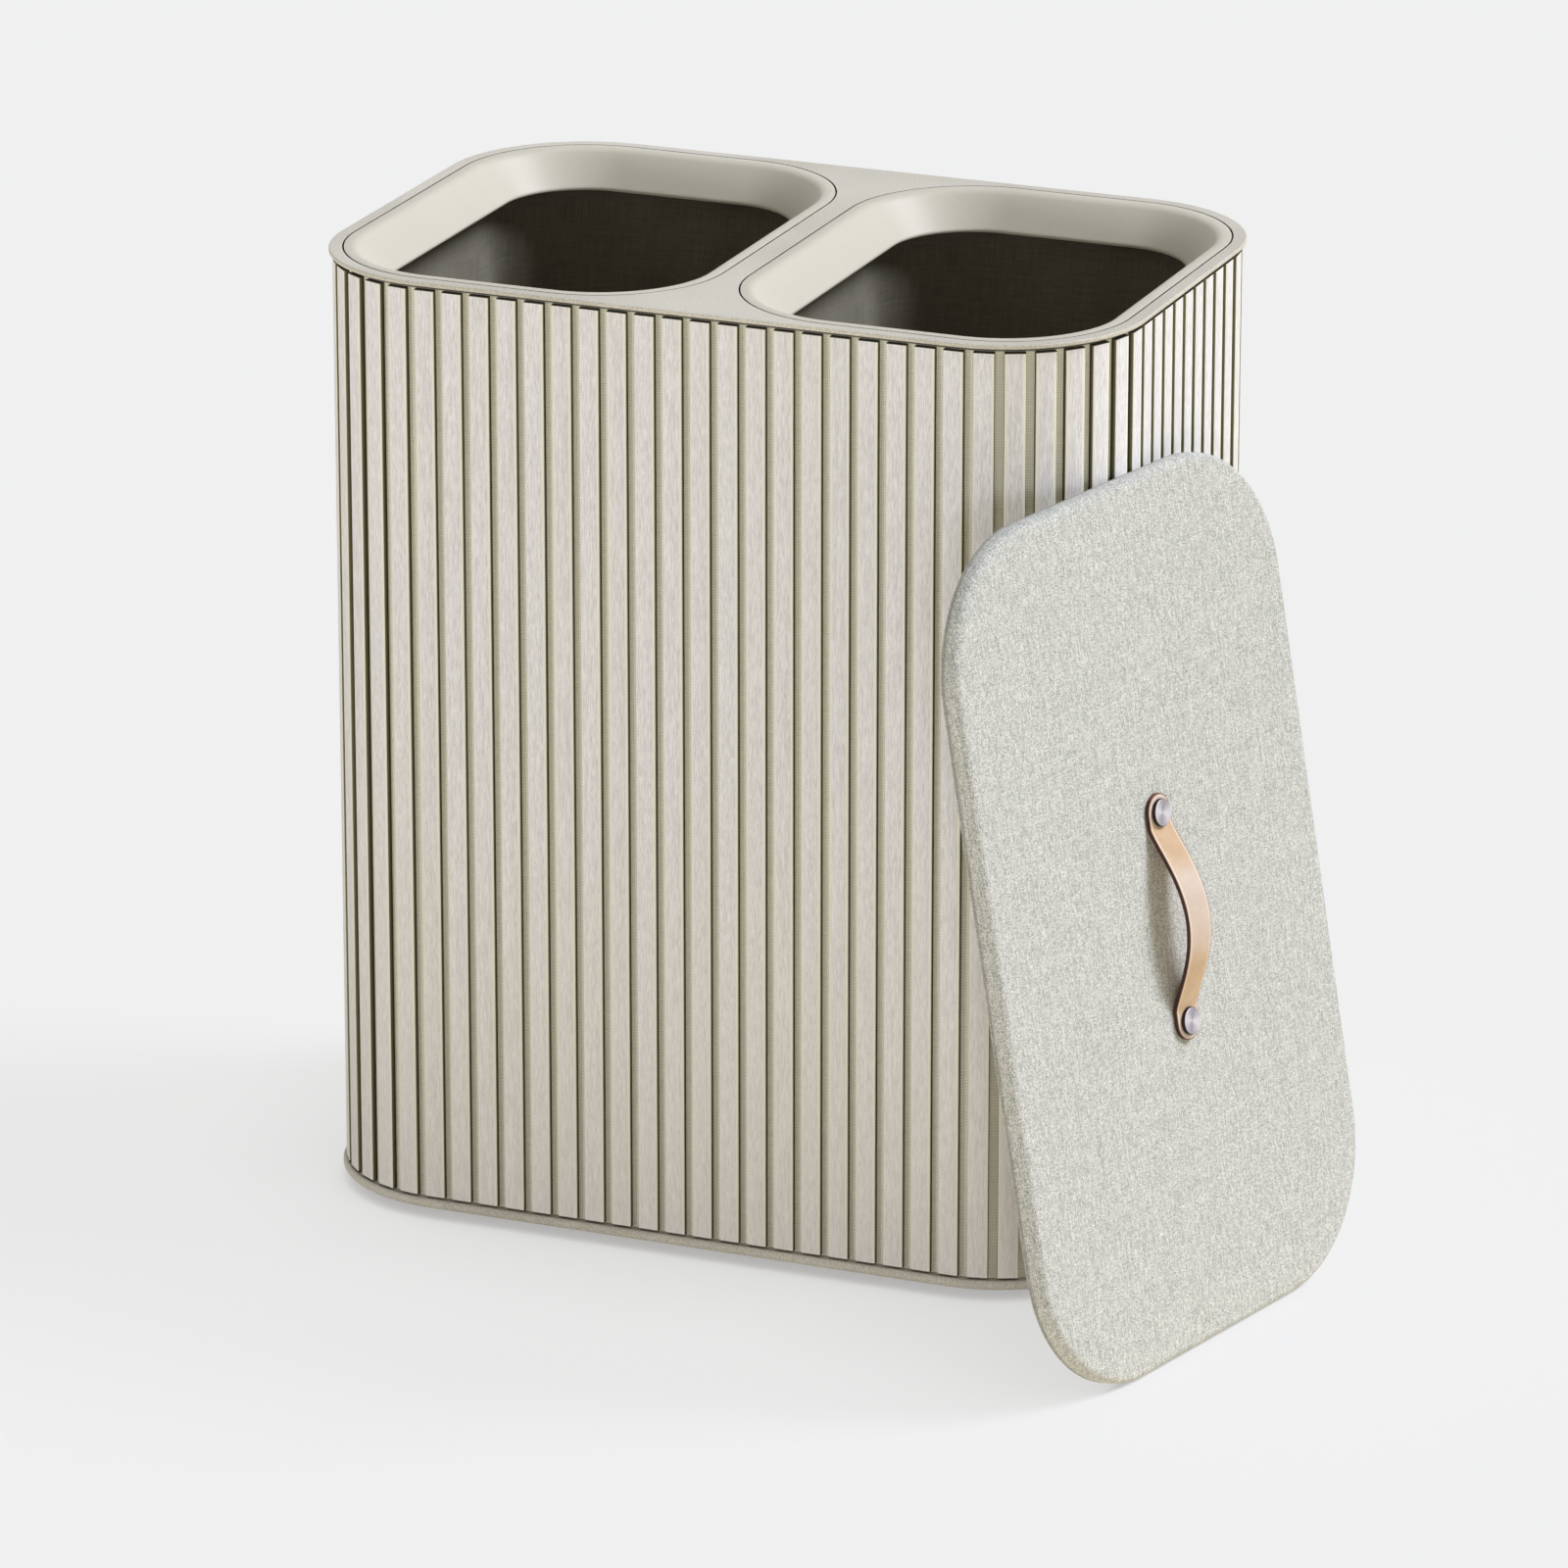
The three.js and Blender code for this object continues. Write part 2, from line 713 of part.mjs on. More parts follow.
// Each strap screw goes through strap, cover and board into a flanged nut let into the board's back
const headSeat = strapSeat + strapThickness + clearance;
const nutBottom = coreBottom;
const nutTop = coreTop - clearance;

function strapBoltProfile() {
  const shoulder = headSeat + strapHeadHeight;
  const tip = nutBottom + strapNutFlangeHeight + strapNutWebHeight;
  return [
    new THREE.Vector2(0, tip),
    new THREE.Vector2(strapBoltRadius, tip),
    new THREE.Vector2(strapBoltRadius, headSeat),
    new THREE.Vector2(strapHeadRadius, headSeat),
    new THREE.Vector2(strapHeadRadius, shoulder - strapHeadHeight / 4),
    new THREE.Vector2(strapHeadRadius - strapHeadHeight / 4, shoulder),
    new THREE.Vector2(0, shoulder),
  ];
}

function strapNutProfile() {
  const bore = strapBoltRadius + clearance;
  const shoulder = nutBottom + strapNutFlangeHeight;
  return [
    new THREE.Vector2(0, nutBottom),
    new THREE.Vector2(strapNutFlangeRadius, nutBottom),
    new THREE.Vector2(strapNutFlangeRadius, shoulder),
    new THREE.Vector2(strapNutBarrelRadius, shoulder),
    new THREE.Vector2(strapNutBarrelRadius, nutTop),
    new THREE.Vector2(bore, nutTop),
    new THREE.Vector2(bore, shoulder + strapNutWebHeight - clearance),
    new THREE.Vector2(0, shoulder + strapNutWebHeight - clearance),
  ];
}

function drillRound(solid, x, y, radius, bottom, top) {
  const bore = new THREE.CylinderGeometry(radius, radius, top - bottom, roundSides);
  bore.rotateX(Math.PI / 2);
  bore.translate(x, y, (top + bottom) / 2);
  return solid.subtract(toSolid(bore));
}

const strapHoles = [['lower', -1], ['upper', 1]];
for (const [name, side] of strapHoles) {
  const hole = side * strapHoleSpacing / 2;
  const x = strapSideShift;
  const y = strapMiddle + hole;
  const boltHole = strapBoltRadius + clearance;
  strap = drillRound(strap, 0, hole, boltHole, lidFace - cutOverrun, headSeat + cutOverrun);
  cover = drillRound(cover, x, y, boltHole, coreTop, lidFace + cutOverrun);
  core = drillRound(core, x, y, strapNutBarrelRadius + clearance, 0, coreTop + clearance);
  const flangeTop = nutBottom + strapNutFlangeHeight + clearance;
  core = drillRound(core, x, y, strapNutFlangeRadius + clearance, 0, flangeTop);
  for (const [prefix, profile] of [
    ['strap_screw', strapBoltProfile()], ['strap_nut', strapNutProfile()],
  ]) {
    const piece = turned(profile, roundSides);
    piece.rotateX(Math.PI / 2);
    const mesh = addMesh(lid, `${prefix}_${name}`, piece, finish.steel);
    mesh.position.set(x, y, 0);
  }
}

addMesh(lid, 'lid_cover', toGeometry(cover), finish.fabric);
addMesh(lid, 'lid_core', toGeometry(core), finish.board);
addMesh(lid, 'lid_backing', toGeometry(backing), finish.fabric);
const strapMesh = addMesh(lid, 'strap', toGeometry(strap), finish.leather);
strapMesh.position.set(strapSideShift, strapMiddle, 0);

// The lid stands on its lower end, turned a little to the front, and its upper end leans on the slats
const lean = THREE.MathUtils.degToRad(lidLeanDegrees);
const turn = THREE.MathUtils.degToRad(lidTurnDegrees);
const lidAcross = new THREE.Vector3(-Math.sin(turn), Math.cos(turn), 0);
const lidOut = new THREE.Vector3(Math.cos(turn), Math.sin(turn), 0);
const lidUp = new THREE.Vector3(0, 0, Math.cos(lean)).addScaledVector(lidOut, -Math.sin(lean));
const lidNormal = new THREE.Vector3(0, 0, Math.sin(lean)).addScaledVector(lidOut, Math.cos(lean));
const bodyReach = (slatFaceWidth / 2 - slatFaceRadius) * Math.abs(lidOut.x)
  + (slatFaceDepth / 2 - slatFaceRadius) * Math.abs(lidOut.y) + slatFaceRadius;
const lidReach = bodyReach + clearance + lidLength * Math.sin(lean);
lid.quaternion.setFromRotationMatrix(new THREE.Matrix4().makeBasis(lidAcross, lidUp, lidNormal));
lid.position.copy(lidOut).multiplyScalar(lidReach).addScaledVector(lidAcross, lidSideShift);
lid.position.z = clearance;

// The origin is on the floor, under the middle of the whole group
const assembly = new THREE.Group();
assembly.add(hamper);
assembly.updateMatrixWorld(true);
const middle = new THREE.Box3().setFromObject(assembly, true).getCenter(new THREE.Vector3());
hamper.position.set(-middle.x, -middle.y, 0);

export default assembly;
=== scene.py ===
import math
import random
from collections import namedtuple

import bmesh
import bpy
from mathutils import Matrix, Vector, noise


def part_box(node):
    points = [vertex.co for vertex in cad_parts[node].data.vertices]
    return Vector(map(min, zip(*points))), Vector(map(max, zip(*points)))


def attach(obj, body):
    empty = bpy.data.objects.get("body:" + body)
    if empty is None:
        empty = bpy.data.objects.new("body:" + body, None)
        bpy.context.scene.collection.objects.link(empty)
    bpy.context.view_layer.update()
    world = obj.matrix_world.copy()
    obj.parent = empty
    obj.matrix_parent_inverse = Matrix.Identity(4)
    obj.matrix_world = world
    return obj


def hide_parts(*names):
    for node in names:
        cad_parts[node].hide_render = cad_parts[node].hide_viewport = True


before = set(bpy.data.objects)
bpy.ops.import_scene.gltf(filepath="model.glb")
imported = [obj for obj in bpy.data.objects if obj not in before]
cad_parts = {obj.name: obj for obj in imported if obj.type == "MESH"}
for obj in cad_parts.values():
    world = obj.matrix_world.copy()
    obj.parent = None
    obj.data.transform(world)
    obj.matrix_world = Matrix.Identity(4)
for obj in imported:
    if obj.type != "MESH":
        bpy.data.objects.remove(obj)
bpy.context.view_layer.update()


# The base tray is one moulding in satin greige plastic. Its rim, with round edges, stands proud of
# the slats, and a thin upstand inside the shell takes the six screws that hold the body to it.

Footprint = namedtuple("Footprint", "x y width depth radius")

plate_low, plate_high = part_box("top_frame")
body_middle = (plate_low + plate_high) / 2
slat_faces = Footprint(body_middle.x, body_middle.y, .5782, .3785, .0966)
rim_outset = .0026
rim_round = .0028
shell_outer = .0053
shell_inner = .0093
carcass_gap = .0003
spigot_outer = shell_inner + carcass_gap
spigot_inner = spigot_outer + .003
base_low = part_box("base_tray")[0].z
base_rim_top = base_low + .0068
upstand_foot = base_rim_top - .0004
upstand_top = base_rim_top + .024


def straight_halves(shape):
    """Half of each straight side of a footprint: from left to right, and from front to back."""
    return shape.width / 2 - shape.radius, shape.depth / 2 - shape.radius


def outline(shape, inset, z, steps=24, run=1):
    """A level ring round a footprint, anticlockwise from above: steps to a corner, run to a side."""
    radius = max(shape.radius - inset, 1e-5)
    half_x, half_y = straight_halves(shape)
    corners = ((half_x, half_y), (-half_x, half_y), (-half_x, -half_y), (half_x, -half_y))

    def on_corner(corner, share):
        x, y = corners[corner % 4]
        angle = (corner + share) * math.pi / 2
        return Vector((shape.x + x + radius * math.cos(angle), shape.y + y + radius * math.sin(angle), z))

    points = []
    for corner in range(4):
        points += [on_corner(corner, step / steps) for step in range(steps + 1)]
        points += [points[-1].lerp(on_corner(corner + 1, 0), part / run) for part in range(1, run)]
    return points


def quarter_turn(steps):
    """Angles at even steps through a right angle."""
    return [math.pi / 2 * step / steps for step in range(steps + 1)]


def rounded_levels(outset, bottom, top, radius, steps=6):
    """Pairs of inset and height up a slab whose edges are quarter rounds."""
    low = [(radius * (1 - math.sin(angle)) - outset, bottom + radius * (1 - math.cos(angle)))
           for angle in quarter_turn(steps)]
    return low + [(inset, bottom + top - z) for inset, z in reversed(low)]


def rings_at(shape, levels, steps=24):
    return [outline(shape, inset, z, steps) for inset, z in levels]


def square_section(outer, inner, low, high):
    """The corners of a band's section: its outer side from low to high, then its inner side down."""
    return [(outer, low), (outer, high), (inner, high), (inner, low)]


def skin(rings, closed=False, open_start=False):
    """A mesh through rings of points: capped at its ends, or run round into a closed band.

    An open start has no first cap."""
    count = len(rings[0])
    last = (len(rings) - 1) * count
    faces = []
    for band in range(len(rings) if closed else len(rings) - 1):
        low, high = band * count, (band + 1) % len(rings) * count
        for side in range(count):
            ahead = (side + 1) % count
            faces.append((low + side, low + ahead, high + ahead, high + side))
    if not closed and not open_start:
        faces.append(tuple(reversed(range(count))))
    if not closed:
        faces.append(tuple(range(last, last + count)))
    mesh = bpy.data.meshes.new("skin")
    mesh.from_pydata([point for ring in rings for point in ring], [], faces)
    return mesh


def slab(shape, levels, steps=24):
    return skin(rings_at(shape, levels, steps))


def hoop_band(shape, levels, steps=24):
    return skin(rings_at(shape, levels, steps), closed=True)


def placed(name, data):
    item = bpy.data.objects.new(name, data)
    bpy.context.scene.collection.objects.link(item)
    return item


def settled(item):
    """Makes what the item's modifiers give its own mesh, and takes them off."""
    graph = bpy.context.evaluated_depsgraph_get()
    made = bpy.data.meshes.new_from_object(item.evaluated_get(graph), preserve_all_data_layers=True,
                                           depsgraph=graph)
    item.modifiers.clear()
    made.name = item.name
    item.data = made


def assigned(item, body, stands_for):
    """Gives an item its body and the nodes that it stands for."""
    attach(item, body)
    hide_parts(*stands_for)
    return item


def piece(name, shells, finishes, body, stands_for, crease=35, flat_faces=True):
    """Joins shells into one object. Edges stay sharp from the crease up, which is in degrees.

    Flat faces are shaded flat, and only the rounds beside them are shaded soft."""
    work = bmesh.new()
    for shell in shells:
        work.from_mesh(shell)
        bpy.data.meshes.remove(shell)
    bmesh.ops.recalc_face_normals(work, faces=work.faces)
    mesh = bpy.data.meshes.new(name)
    work.to_mesh(mesh)
    work.free()
    mesh.shade_smooth()
    mesh.set_sharp_from_angle(angle=math.radians(crease))
    for finish in finishes:
        mesh.materials.append(finish.material)
    item = placed(name, mesh)
    if flat_faces:
        evened = item.modifiers.new("even", "WEIGHTED_NORMAL")
        evened.keep_sharp = True
        settled(item)
    return assigned(item, body, stands_for)


def math_node(operation, swapped=False):
    """A Python operator on two numbers that adds the Math node for it."""
    def work(number, other):
        pair = (other, number) if swapped else (number, other)
        return number.sheet.work(operation, *pair)
    return work


class Number:
    """A number that a node gives out. Python's operators on it add the Math nodes that work it out."""

    def __init__(self, sheet, socket):
        self.sheet, self.socket = sheet, socket

    __add__ = __radd__ = math_node("ADD")
    __sub__ = math_node("SUBTRACT")
    __rsub__ = math_node("SUBTRACT", swapped=True)
    __mul__ = __rmul__ = math_node("MULTIPLY")
    __truediv__ = math_node("DIVIDE")
    __pow__ = math_node("POWER")
    __gt__ = math_node("GREATER_THAN")

    def __neg__(self):
        return self * -1

    def __abs__(self):
        return self.sheet.work("ABSOLUTE", self)


class Outputs:
    """What a new node gives out, by name or by place."""

    def __init__(self, sheet, node):
        self.sheet, self.node = sheet, node

    def __getitem__(self, key):
        return Number(self.sheet, self.node.outputs[key])


def paint(red, green, blue):
    """A colour as seen, 0 to 255, for a shader."""
    def linear(value):
        value /= 255
        return value / 12.92 if value <= .04045 else ((value + .055) / 1.055) ** 2.4
    return linear(red), linear(green), linear(blue), 1


class Sheet:
    """A node tree that the nodes of a finish or of a pattern are added to."""

    def __init__(self, tree):
        self.tree = tree

    def add(self, kind, settings=None, sockets=None):
        """Adds a node. Each part of a list is linked to the same socket, one after the other."""
        node = self.tree.nodes.new(kind)
        for label, value in (settings or {}).items():
            setattr(node, label, value)
        for key, value in (sockets or {}).items():
            for part in value if isinstance(value, list) else [value]:
                if isinstance(part, Number):
                    self.tree.links.new(part.socket, node.inputs[key])
                else:
                    node.inputs[key].default_value = part
        return Outputs(self, node)

    def work(self, operation, *numbers):
        return self.add("ShaderNodeMath", {"operation": operation}, dict(enumerate(numbers)))[0]

    def joined(self, x=0, y=0, z=0):
        return self.add("ShaderNodeCombineXYZ", None, {0: x, 1: y, 2: z})[0]

    def split(self, vector):
        made = self.add("ShaderNodeSeparateXYZ", None, {0: vector})
        return made[0], made[1], made[2]

    def blend(self, share, first, second):
        """Goes from the first colour to the second. A plain colour is given as seen, 0 to 255."""
        first, second = (part if isinstance(part, Number) else paint(*part) for part in (first, second))
        return self.add("ShaderNodeMix", {"data_type": "RGBA"}, {0: share, 6: first, 7: second})[2]


class Finish(Sheet):
    """A material round one Principled shader. Its patterns lie in metres, in the object's own space."""

    def __init__(self, name, **fixed):
        self.material = bpy.data.materials.new(name)
        self.material.use_nodes = True
        super().__init__(self.material.node_tree)
        self.shader = self.tree.nodes["Principled BSDF"]
        for label, value in fixed.items():
            self.shader.inputs[label.replace("_", " ")].default_value = value

    def place(self):
        return self.add("ShaderNodeTexCoord")["Object"]

    def mapped(self, vector, location=(0, 0, 0), rotation=(0, 0, 0), scale=(1, 1, 1)):
        return self.add("ShaderNodeMapping", None, {"Vector": vector, "Location": location,
                                                    "Rotation": rotation, "Scale": scale})["Vector"]

    def noise(self, vector, scale, detail=2, roughness=.5):
        return self.add("ShaderNodeTexNoise", None, {"Vector": vector, "Scale": scale, "Detail": detail,
                                                     "Roughness": roughness})[0]

    def attribute(self, name, output="Fac"):
        return self.add("ShaderNodeAttribute", {"attribute_name": name})[output]

    def smooth(self, value, low, high):
        """0 at low and 1 at high, with a soft run between them. Low may be the larger."""
        return self.add("ShaderNodeMapRange", {"interpolation_type": "SMOOTHSTEP"},
                        {0: value, 1: low, 2: high, 3: 0, 4: 1})[0]

    def bump(self, height, distance, strength=1):
        return self.add("ShaderNodeBump", None, {"Height": height, "Distance": distance,
                                                 "Strength": strength})["Normal"]

    def feed(self, **sockets):
        for label, number in sockets.items():
            self.tree.links.new(number.socket, self.shader.inputs[label.replace("_", " ")])
        return self


def moulded(name, light, dark, roughness, grain_depth, speck_scale):
    """Satin plastic: a fine moulded grain, a little cloudiness, and slightly glossier where hands go."""
    finish = Finish(name, Specular_IOR_Level=.28)
    place = finish.place()
    grain = finish.noise(place, 1500, 2, .6)
    tint = finish.smooth(finish.noise(place, 7, 3), .3, .7)
    speck = finish.smooth(finish.noise(place, speck_scale, 2, .7), .35, .65)
    worn = finish.noise(place, 26, 4, .6)
    return finish.feed(Base_Color=finish.blend(tint * .35 + speck * .65, dark, light),
                       Roughness=roughness + .1 * worn - .05 * tint,
                       Normal=finish.bump(grain, grain_depth, .6))


plate_satin = moulded("plate_satin", (233, 227, 212), (184, 178, 163), .44, .00012, 1000)

tray_rim = slab(slat_faces, rounded_levels(rim_outset, base_low, base_rim_top, rim_round))
tray_upstand = hoop_band(slat_faces, square_section(spigot_outer, spigot_inner, upstand_foot, upstand_top))
piece("base_moulding", [tray_rim, tray_upstand], [plate_satin], "root", ["base_tray"])


# Four black rubber feet keep the tray off the floor. Each is a turned disc with a recess below for
# the pan head of the screw that goes up through it into the tray.

foot_names = ["front_left", "front_right", "rear_left", "rear_right"]

foot_rubber = Finish("foot_rubber", Specular_IOR_Level=.3)
rubber_place = foot_rubber.place()
rubber_dust = foot_rubber.smooth(foot_rubber.noise(rubber_place, 240, 4, .7), .5, .8)
foot_rubber.feed(Base_Color=foot_rubber.blend(rubber_dust * .5, (26, 26, 25), (64, 62, 58)),
                 Roughness=.72 + .15 * rubber_dust,
                 Normal=foot_rubber.bump(foot_rubber.noise(rubber_place, 1800, 2), .00008))


def turned(profile, x, y, sides=48):
    """Rings of a lathe-turned shell about an upright axis, through pairs of radius and height."""
    angles = [2 * math.pi * side / sides for side in range(sides)]
    return [[Vector((x + radius * math.cos(angle), y + radius * math.sin(angle), z)) for angle in angles]
            for radius, z in profile]


for name in foot_names:
    foot_low, foot_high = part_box("foot_" + name)
    top = foot_high.z
    disc = [(.0023, .0036), (.005, .0036), (.005, .0004), (.0054, 0), (.0115, 0), (.0121, .0002),
            (.0127, .0007), (.013, .0014), (.013, top - .0004), (.0126, top), (.0023, top)]
    foot_middle = (foot_low + foot_high) / 2
    piece("rubber_foot_" + name, [skin(turned(disc, foot_middle.x, foot_middle.y), closed=True)],
          [foot_rubber], "root", ["foot_" + name], crease=30)


# Plated steel screws with a cross recess: countersunk ones driven outwards through the tray's
# upstand and the top frame's spigot into the shell, and pan heads up through the feet.

class Pattern(Sheet):
    """A Geometry Nodes tree whose sizes are named inputs. Its result is made a plain mesh."""

    def __init__(self, name, **sizes):
        super().__init__(bpy.data.node_groups.new(name, "GeometryNodeTree"))
        self.sizes = {label.replace("_", " "): value for label, value in sizes.items()}
        face = self.tree.interface
        face.new_socket("Geometry", in_out="INPUT", socket_type="NodeSocketGeometry")
        face.new_socket("Geometry", in_out="OUTPUT", socket_type="NodeSocketGeometry")
        self.keys = {}
        for label, value in self.sizes.items():
            kind = "NodeSocketInt" if isinstance(value, int) else "NodeSocketFloat"
            self.keys[label] = face.new_socket(label, in_out="INPUT", socket_type=kind).identifier
        self.given = self.add("NodeGroupInput")

    def moved(self, geometry, offset):
        return self.add("GeometryNodeTransform", None, {"Geometry": geometry, "Translation": offset})[0]

    def copies(self, points, instance, axis, way):
        """An instance at each point, turned so that its axis points the given way."""
        turn = self.add("FunctionNodeAlignRotationToVector", {"axis": axis}, {"Vector": way})[0]
        return self.add("GeometryNodeInstanceOnPoints", None,
                        {"Points": points, "Instance": instance, "Rotation": turn})[0]

    def store(self, geometry, name, value, kind="FLOAT", domain="POINT"):
        return self.add("GeometryNodeStoreNamedAttribute", {"data_type": kind, "domain": domain},
                        {"Geometry": geometry, "Name": name, "Value": value})[0]

    def end(self, geometry, finish):
        real = self.add("GeometryNodeRealizeInstances", None, {"Geometry": geometry})[0]
        dressed = self.add("GeometryNodeSetMaterial", None,
                           {"Geometry": real, "Material": finish.material})[0]
        self.add("NodeGroupOutput", None, {0: dressed})
        return self

    def made(self, name, start):
        """The object that the tree makes of a starting mesh, as a plain mesh."""
        item = placed(name, start)
        maker = item.modifiers.new("maker", "NODES")
        maker.node_group = self.tree
        for label, value in self.sizes.items():
            maker[self.keys[label]] = value
        settled(item)
        return item


plated_steel = Finish("plated_steel", Metallic=1)
steel_place = plated_steel.place()
steel_cloud = plated_steel.noise(steel_place, 320, 3, .6)
plated_steel.feed(Base_Color=plated_steel.blend(steel_cloud, (178, 176, 172), (214, 212, 208)),
                  Roughness=.24 + .22 * steel_cloud,
                  Normal=plated_steel.bump(plated_steel.noise(steel_place, 2400, 2), .00003))


def screw_pattern(name, head_radius, seat_radius, head_height, shaft_radius, length):
    """Screws at points. Each has its head's top at the point and points the way of its drive."""
    plan = Pattern(name, Head_Radius=head_radius, Seat_Radius=seat_radius, Head_Height=head_height,
                   Shaft_Radius=shaft_radius, Screw_Length=length, Recess_Reach=head_radius * .62,
                   Recess_Width=head_radius * .2, Recess_Depth=head_height * .55, Sides=28)
    given = plan.given
    head = plan.add("GeometryNodeMeshCone", {"fill_type": "NGON"},
                    {"Vertices": given["Sides"], "Radius Bottom": given["Head Radius"],
                     "Radius Top": given["Seat Radius"], "Depth": given["Head Height"]})[0]
    recess_depth = given["Recess Depth"] * 2
    arms = []
    for across, along in (("Recess Reach", "Recess Width"), ("Recess Width", "Recess Reach")):
        size = plan.joined(given[across] * 2, given[along] * 2, recess_depth)
        arms.append(plan.add("GeometryNodeMeshCube", None, {"Size": size})[0])
    head = plan.add("GeometryNodeMeshBoolean", {"operation": "DIFFERENCE", "solver": "EXACT"},
                    {0: head, 1: arms})[0]
    shaft_length = given["Screw Length"] - given["Head Height"] * .6
    shaft = plan.add("GeometryNodeMeshCylinder", {"fill_type": "NGON"},
                     {"Vertices": given["Sides"], "Radius": given["Shaft Radius"], "Depth": shaft_length})[0]
    shaft = plan.moved(shaft, plan.joined(z=given["Screw Length"] - shaft_length / 2))
    screw = plan.add("GeometryNodeJoinGeometry", None, {0: [head, shaft]})[0]
    drive = plan.add("GeometryNodeInputNamedAttribute", {"data_type": "FLOAT_VECTOR"}, {"Name": "drive"})[0]
    return plan.end(plan.copies(given["Geometry"], screw, "Z", drive), plated_steel)


def mark(mesh, name, values, kind="FLOAT"):
    """Stores a number, or the three numbers of a vector, at each point of a mesh."""
    field = "value" if kind == "FLOAT" else "vector"
    mesh.attributes.new(name, kind, "POINT").data.foreach_set(field, values)


def screws(name, pattern, nodes, ways):
    """Screws for nodes: each head lies at the side of its node's box that faces away from its drive."""
    heads = []
    for node, way in zip(nodes, ways):
        low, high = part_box(node)
        half = (high - low) / 2
        heads.append((low + high) / 2 - Vector((half.x * way[0], half.y * way[1], half.z * way[2])))
    start = bpy.data.meshes.new(name)
    start.from_pydata(heads, [], [])
    mark(start, "drive", [number for way in ways for number in way], "FLOAT_VECTOR")
    assigned(pattern.made(name, start), "root", nodes)


countersunk = screw_pattern("countersunk_screws", .0036, .0016, .0018, .0016, .0065)
pan_heads = screw_pattern("pan_head_screws", .004, .004, .0022, .002, .0109)
side_ways = {"front_left": (0, -1, 0), "front_right": (0, -1, 0), "rear_left": (0, 1, 0),
             "rear_right": (0, 1, 0), "left": (-1, 0, 0), "right": (1, 0, 0)}
for level in ("base", "frame"):
    screws(level + "_screws", countersunk, [f"{level}_screw_{name}" for name in side_ways],
           list(side_ways.values()))
screws("foot_screws", pan_heads, ["foot_screw_" + name for name in foot_names], [(0, 0, 1)] * 4)


# The shell is two bent boards that meet at the middle of the front and of the back, and the divider
# stands between the bins. They are thin birch ply, its face veneer left bare inside.

wall_low, wall_high = (corner.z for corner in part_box("shell_left"))
joint_gap = .0003


def veneer(name, light, dark):
    """Bare face veneer: long upright grain with darker growth bands and short pores."""
    finish = Finish(name, Specular_IOR_Level=.3)
    place = finish.place()
    sway = finish.noise(place, 4, 2)
    band = finish.noise(finish.mapped(place, scale=(60, 60, 3)), 3, 5, .6)
    pores = finish.smooth(finish.noise(finish.mapped(place, scale=(1080, 1080, 48)), 1, 2), .6, .72)
    tone = finish.smooth(band + sway * .3, .4, .9)
    colour = finish.blend(tone, light, dark)
    return finish.feed(Base_Color=finish.blend(pores * .35, colour, (128, 108, 78)),
                       Roughness=.62 + .2 * tone,
                       Normal=finish.bump(band - pores * .4, .00012, .5))


shell_birch = veneer("shell_birch", (214, 196, 160), (188, 166, 126))


def bent_board(side):
    """Half of the shell: a board's section carried round one side of the body."""
    def from_middle(point):
        return side * (point.x - slat_faces.x)

    def parted(point):
        """Across the body, a point at the joint stands half the gap back from the other board."""
        return point.x + side * (joint_gap / 2 if abs(from_middle(point)) < 1e-6 else 0)

    guide, outside, inside = (outline(slat_faces, inset, 0, steps=28, run=2)
                              for inset in (0, shell_outer, shell_inner))
    half = [place for place, point in enumerate(guide) if from_middle(point) > -1e-6]
    half.sort(key=lambda place: math.atan2(guide[place].y - slat_faces.y, from_middle(guide[place])))
    section = square_section(outside, inside, wall_low, wall_high)
    return skin([[Vector((parted(path[place]), path[place].y, z)) for path, z in section] for place in half])


for name, side in (("left", -1), ("right", 1)):
    piece("bent_board_" + name, [bent_board(side)], [shell_birch], "root", ["shell_" + name])

divider_low, divider_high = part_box("divider_panel")
divider_middle = (divider_low + divider_high) / 2
divider_shape = Footprint(divider_middle.x, divider_middle.y, divider_high.x - divider_low.x,
                          divider_high.y - divider_low.y, .0009)
piece("divider_board", [slab(divider_shape, rounded_levels(0, divider_low.z, divider_high.z, .0006, 3), 4)],
      [shell_birch], "root", ["divider_panel"])


# The wrap is upright wooden slats glued side by side to one sheet of ribbed cloth, which goes once
# round the shell. The slats are brushed, stained greige and lightly rounded, with a painted highlight
# on their long edges and painted shade on their sides and ends.

slat_width = .014
slat_thickness = .004
slat_pitch_wanted = .020
cloth_thickness = .001
wrap_low, wrap_high = (corner.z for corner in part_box("slat_wrap"))
plate_top = plate_high.z
plate_bottom = plate_top - .0031
deck_bottom = plate_bottom - .003
slat_foot = base_rim_top + .001
slat_length = deck_bottom - slat_foot


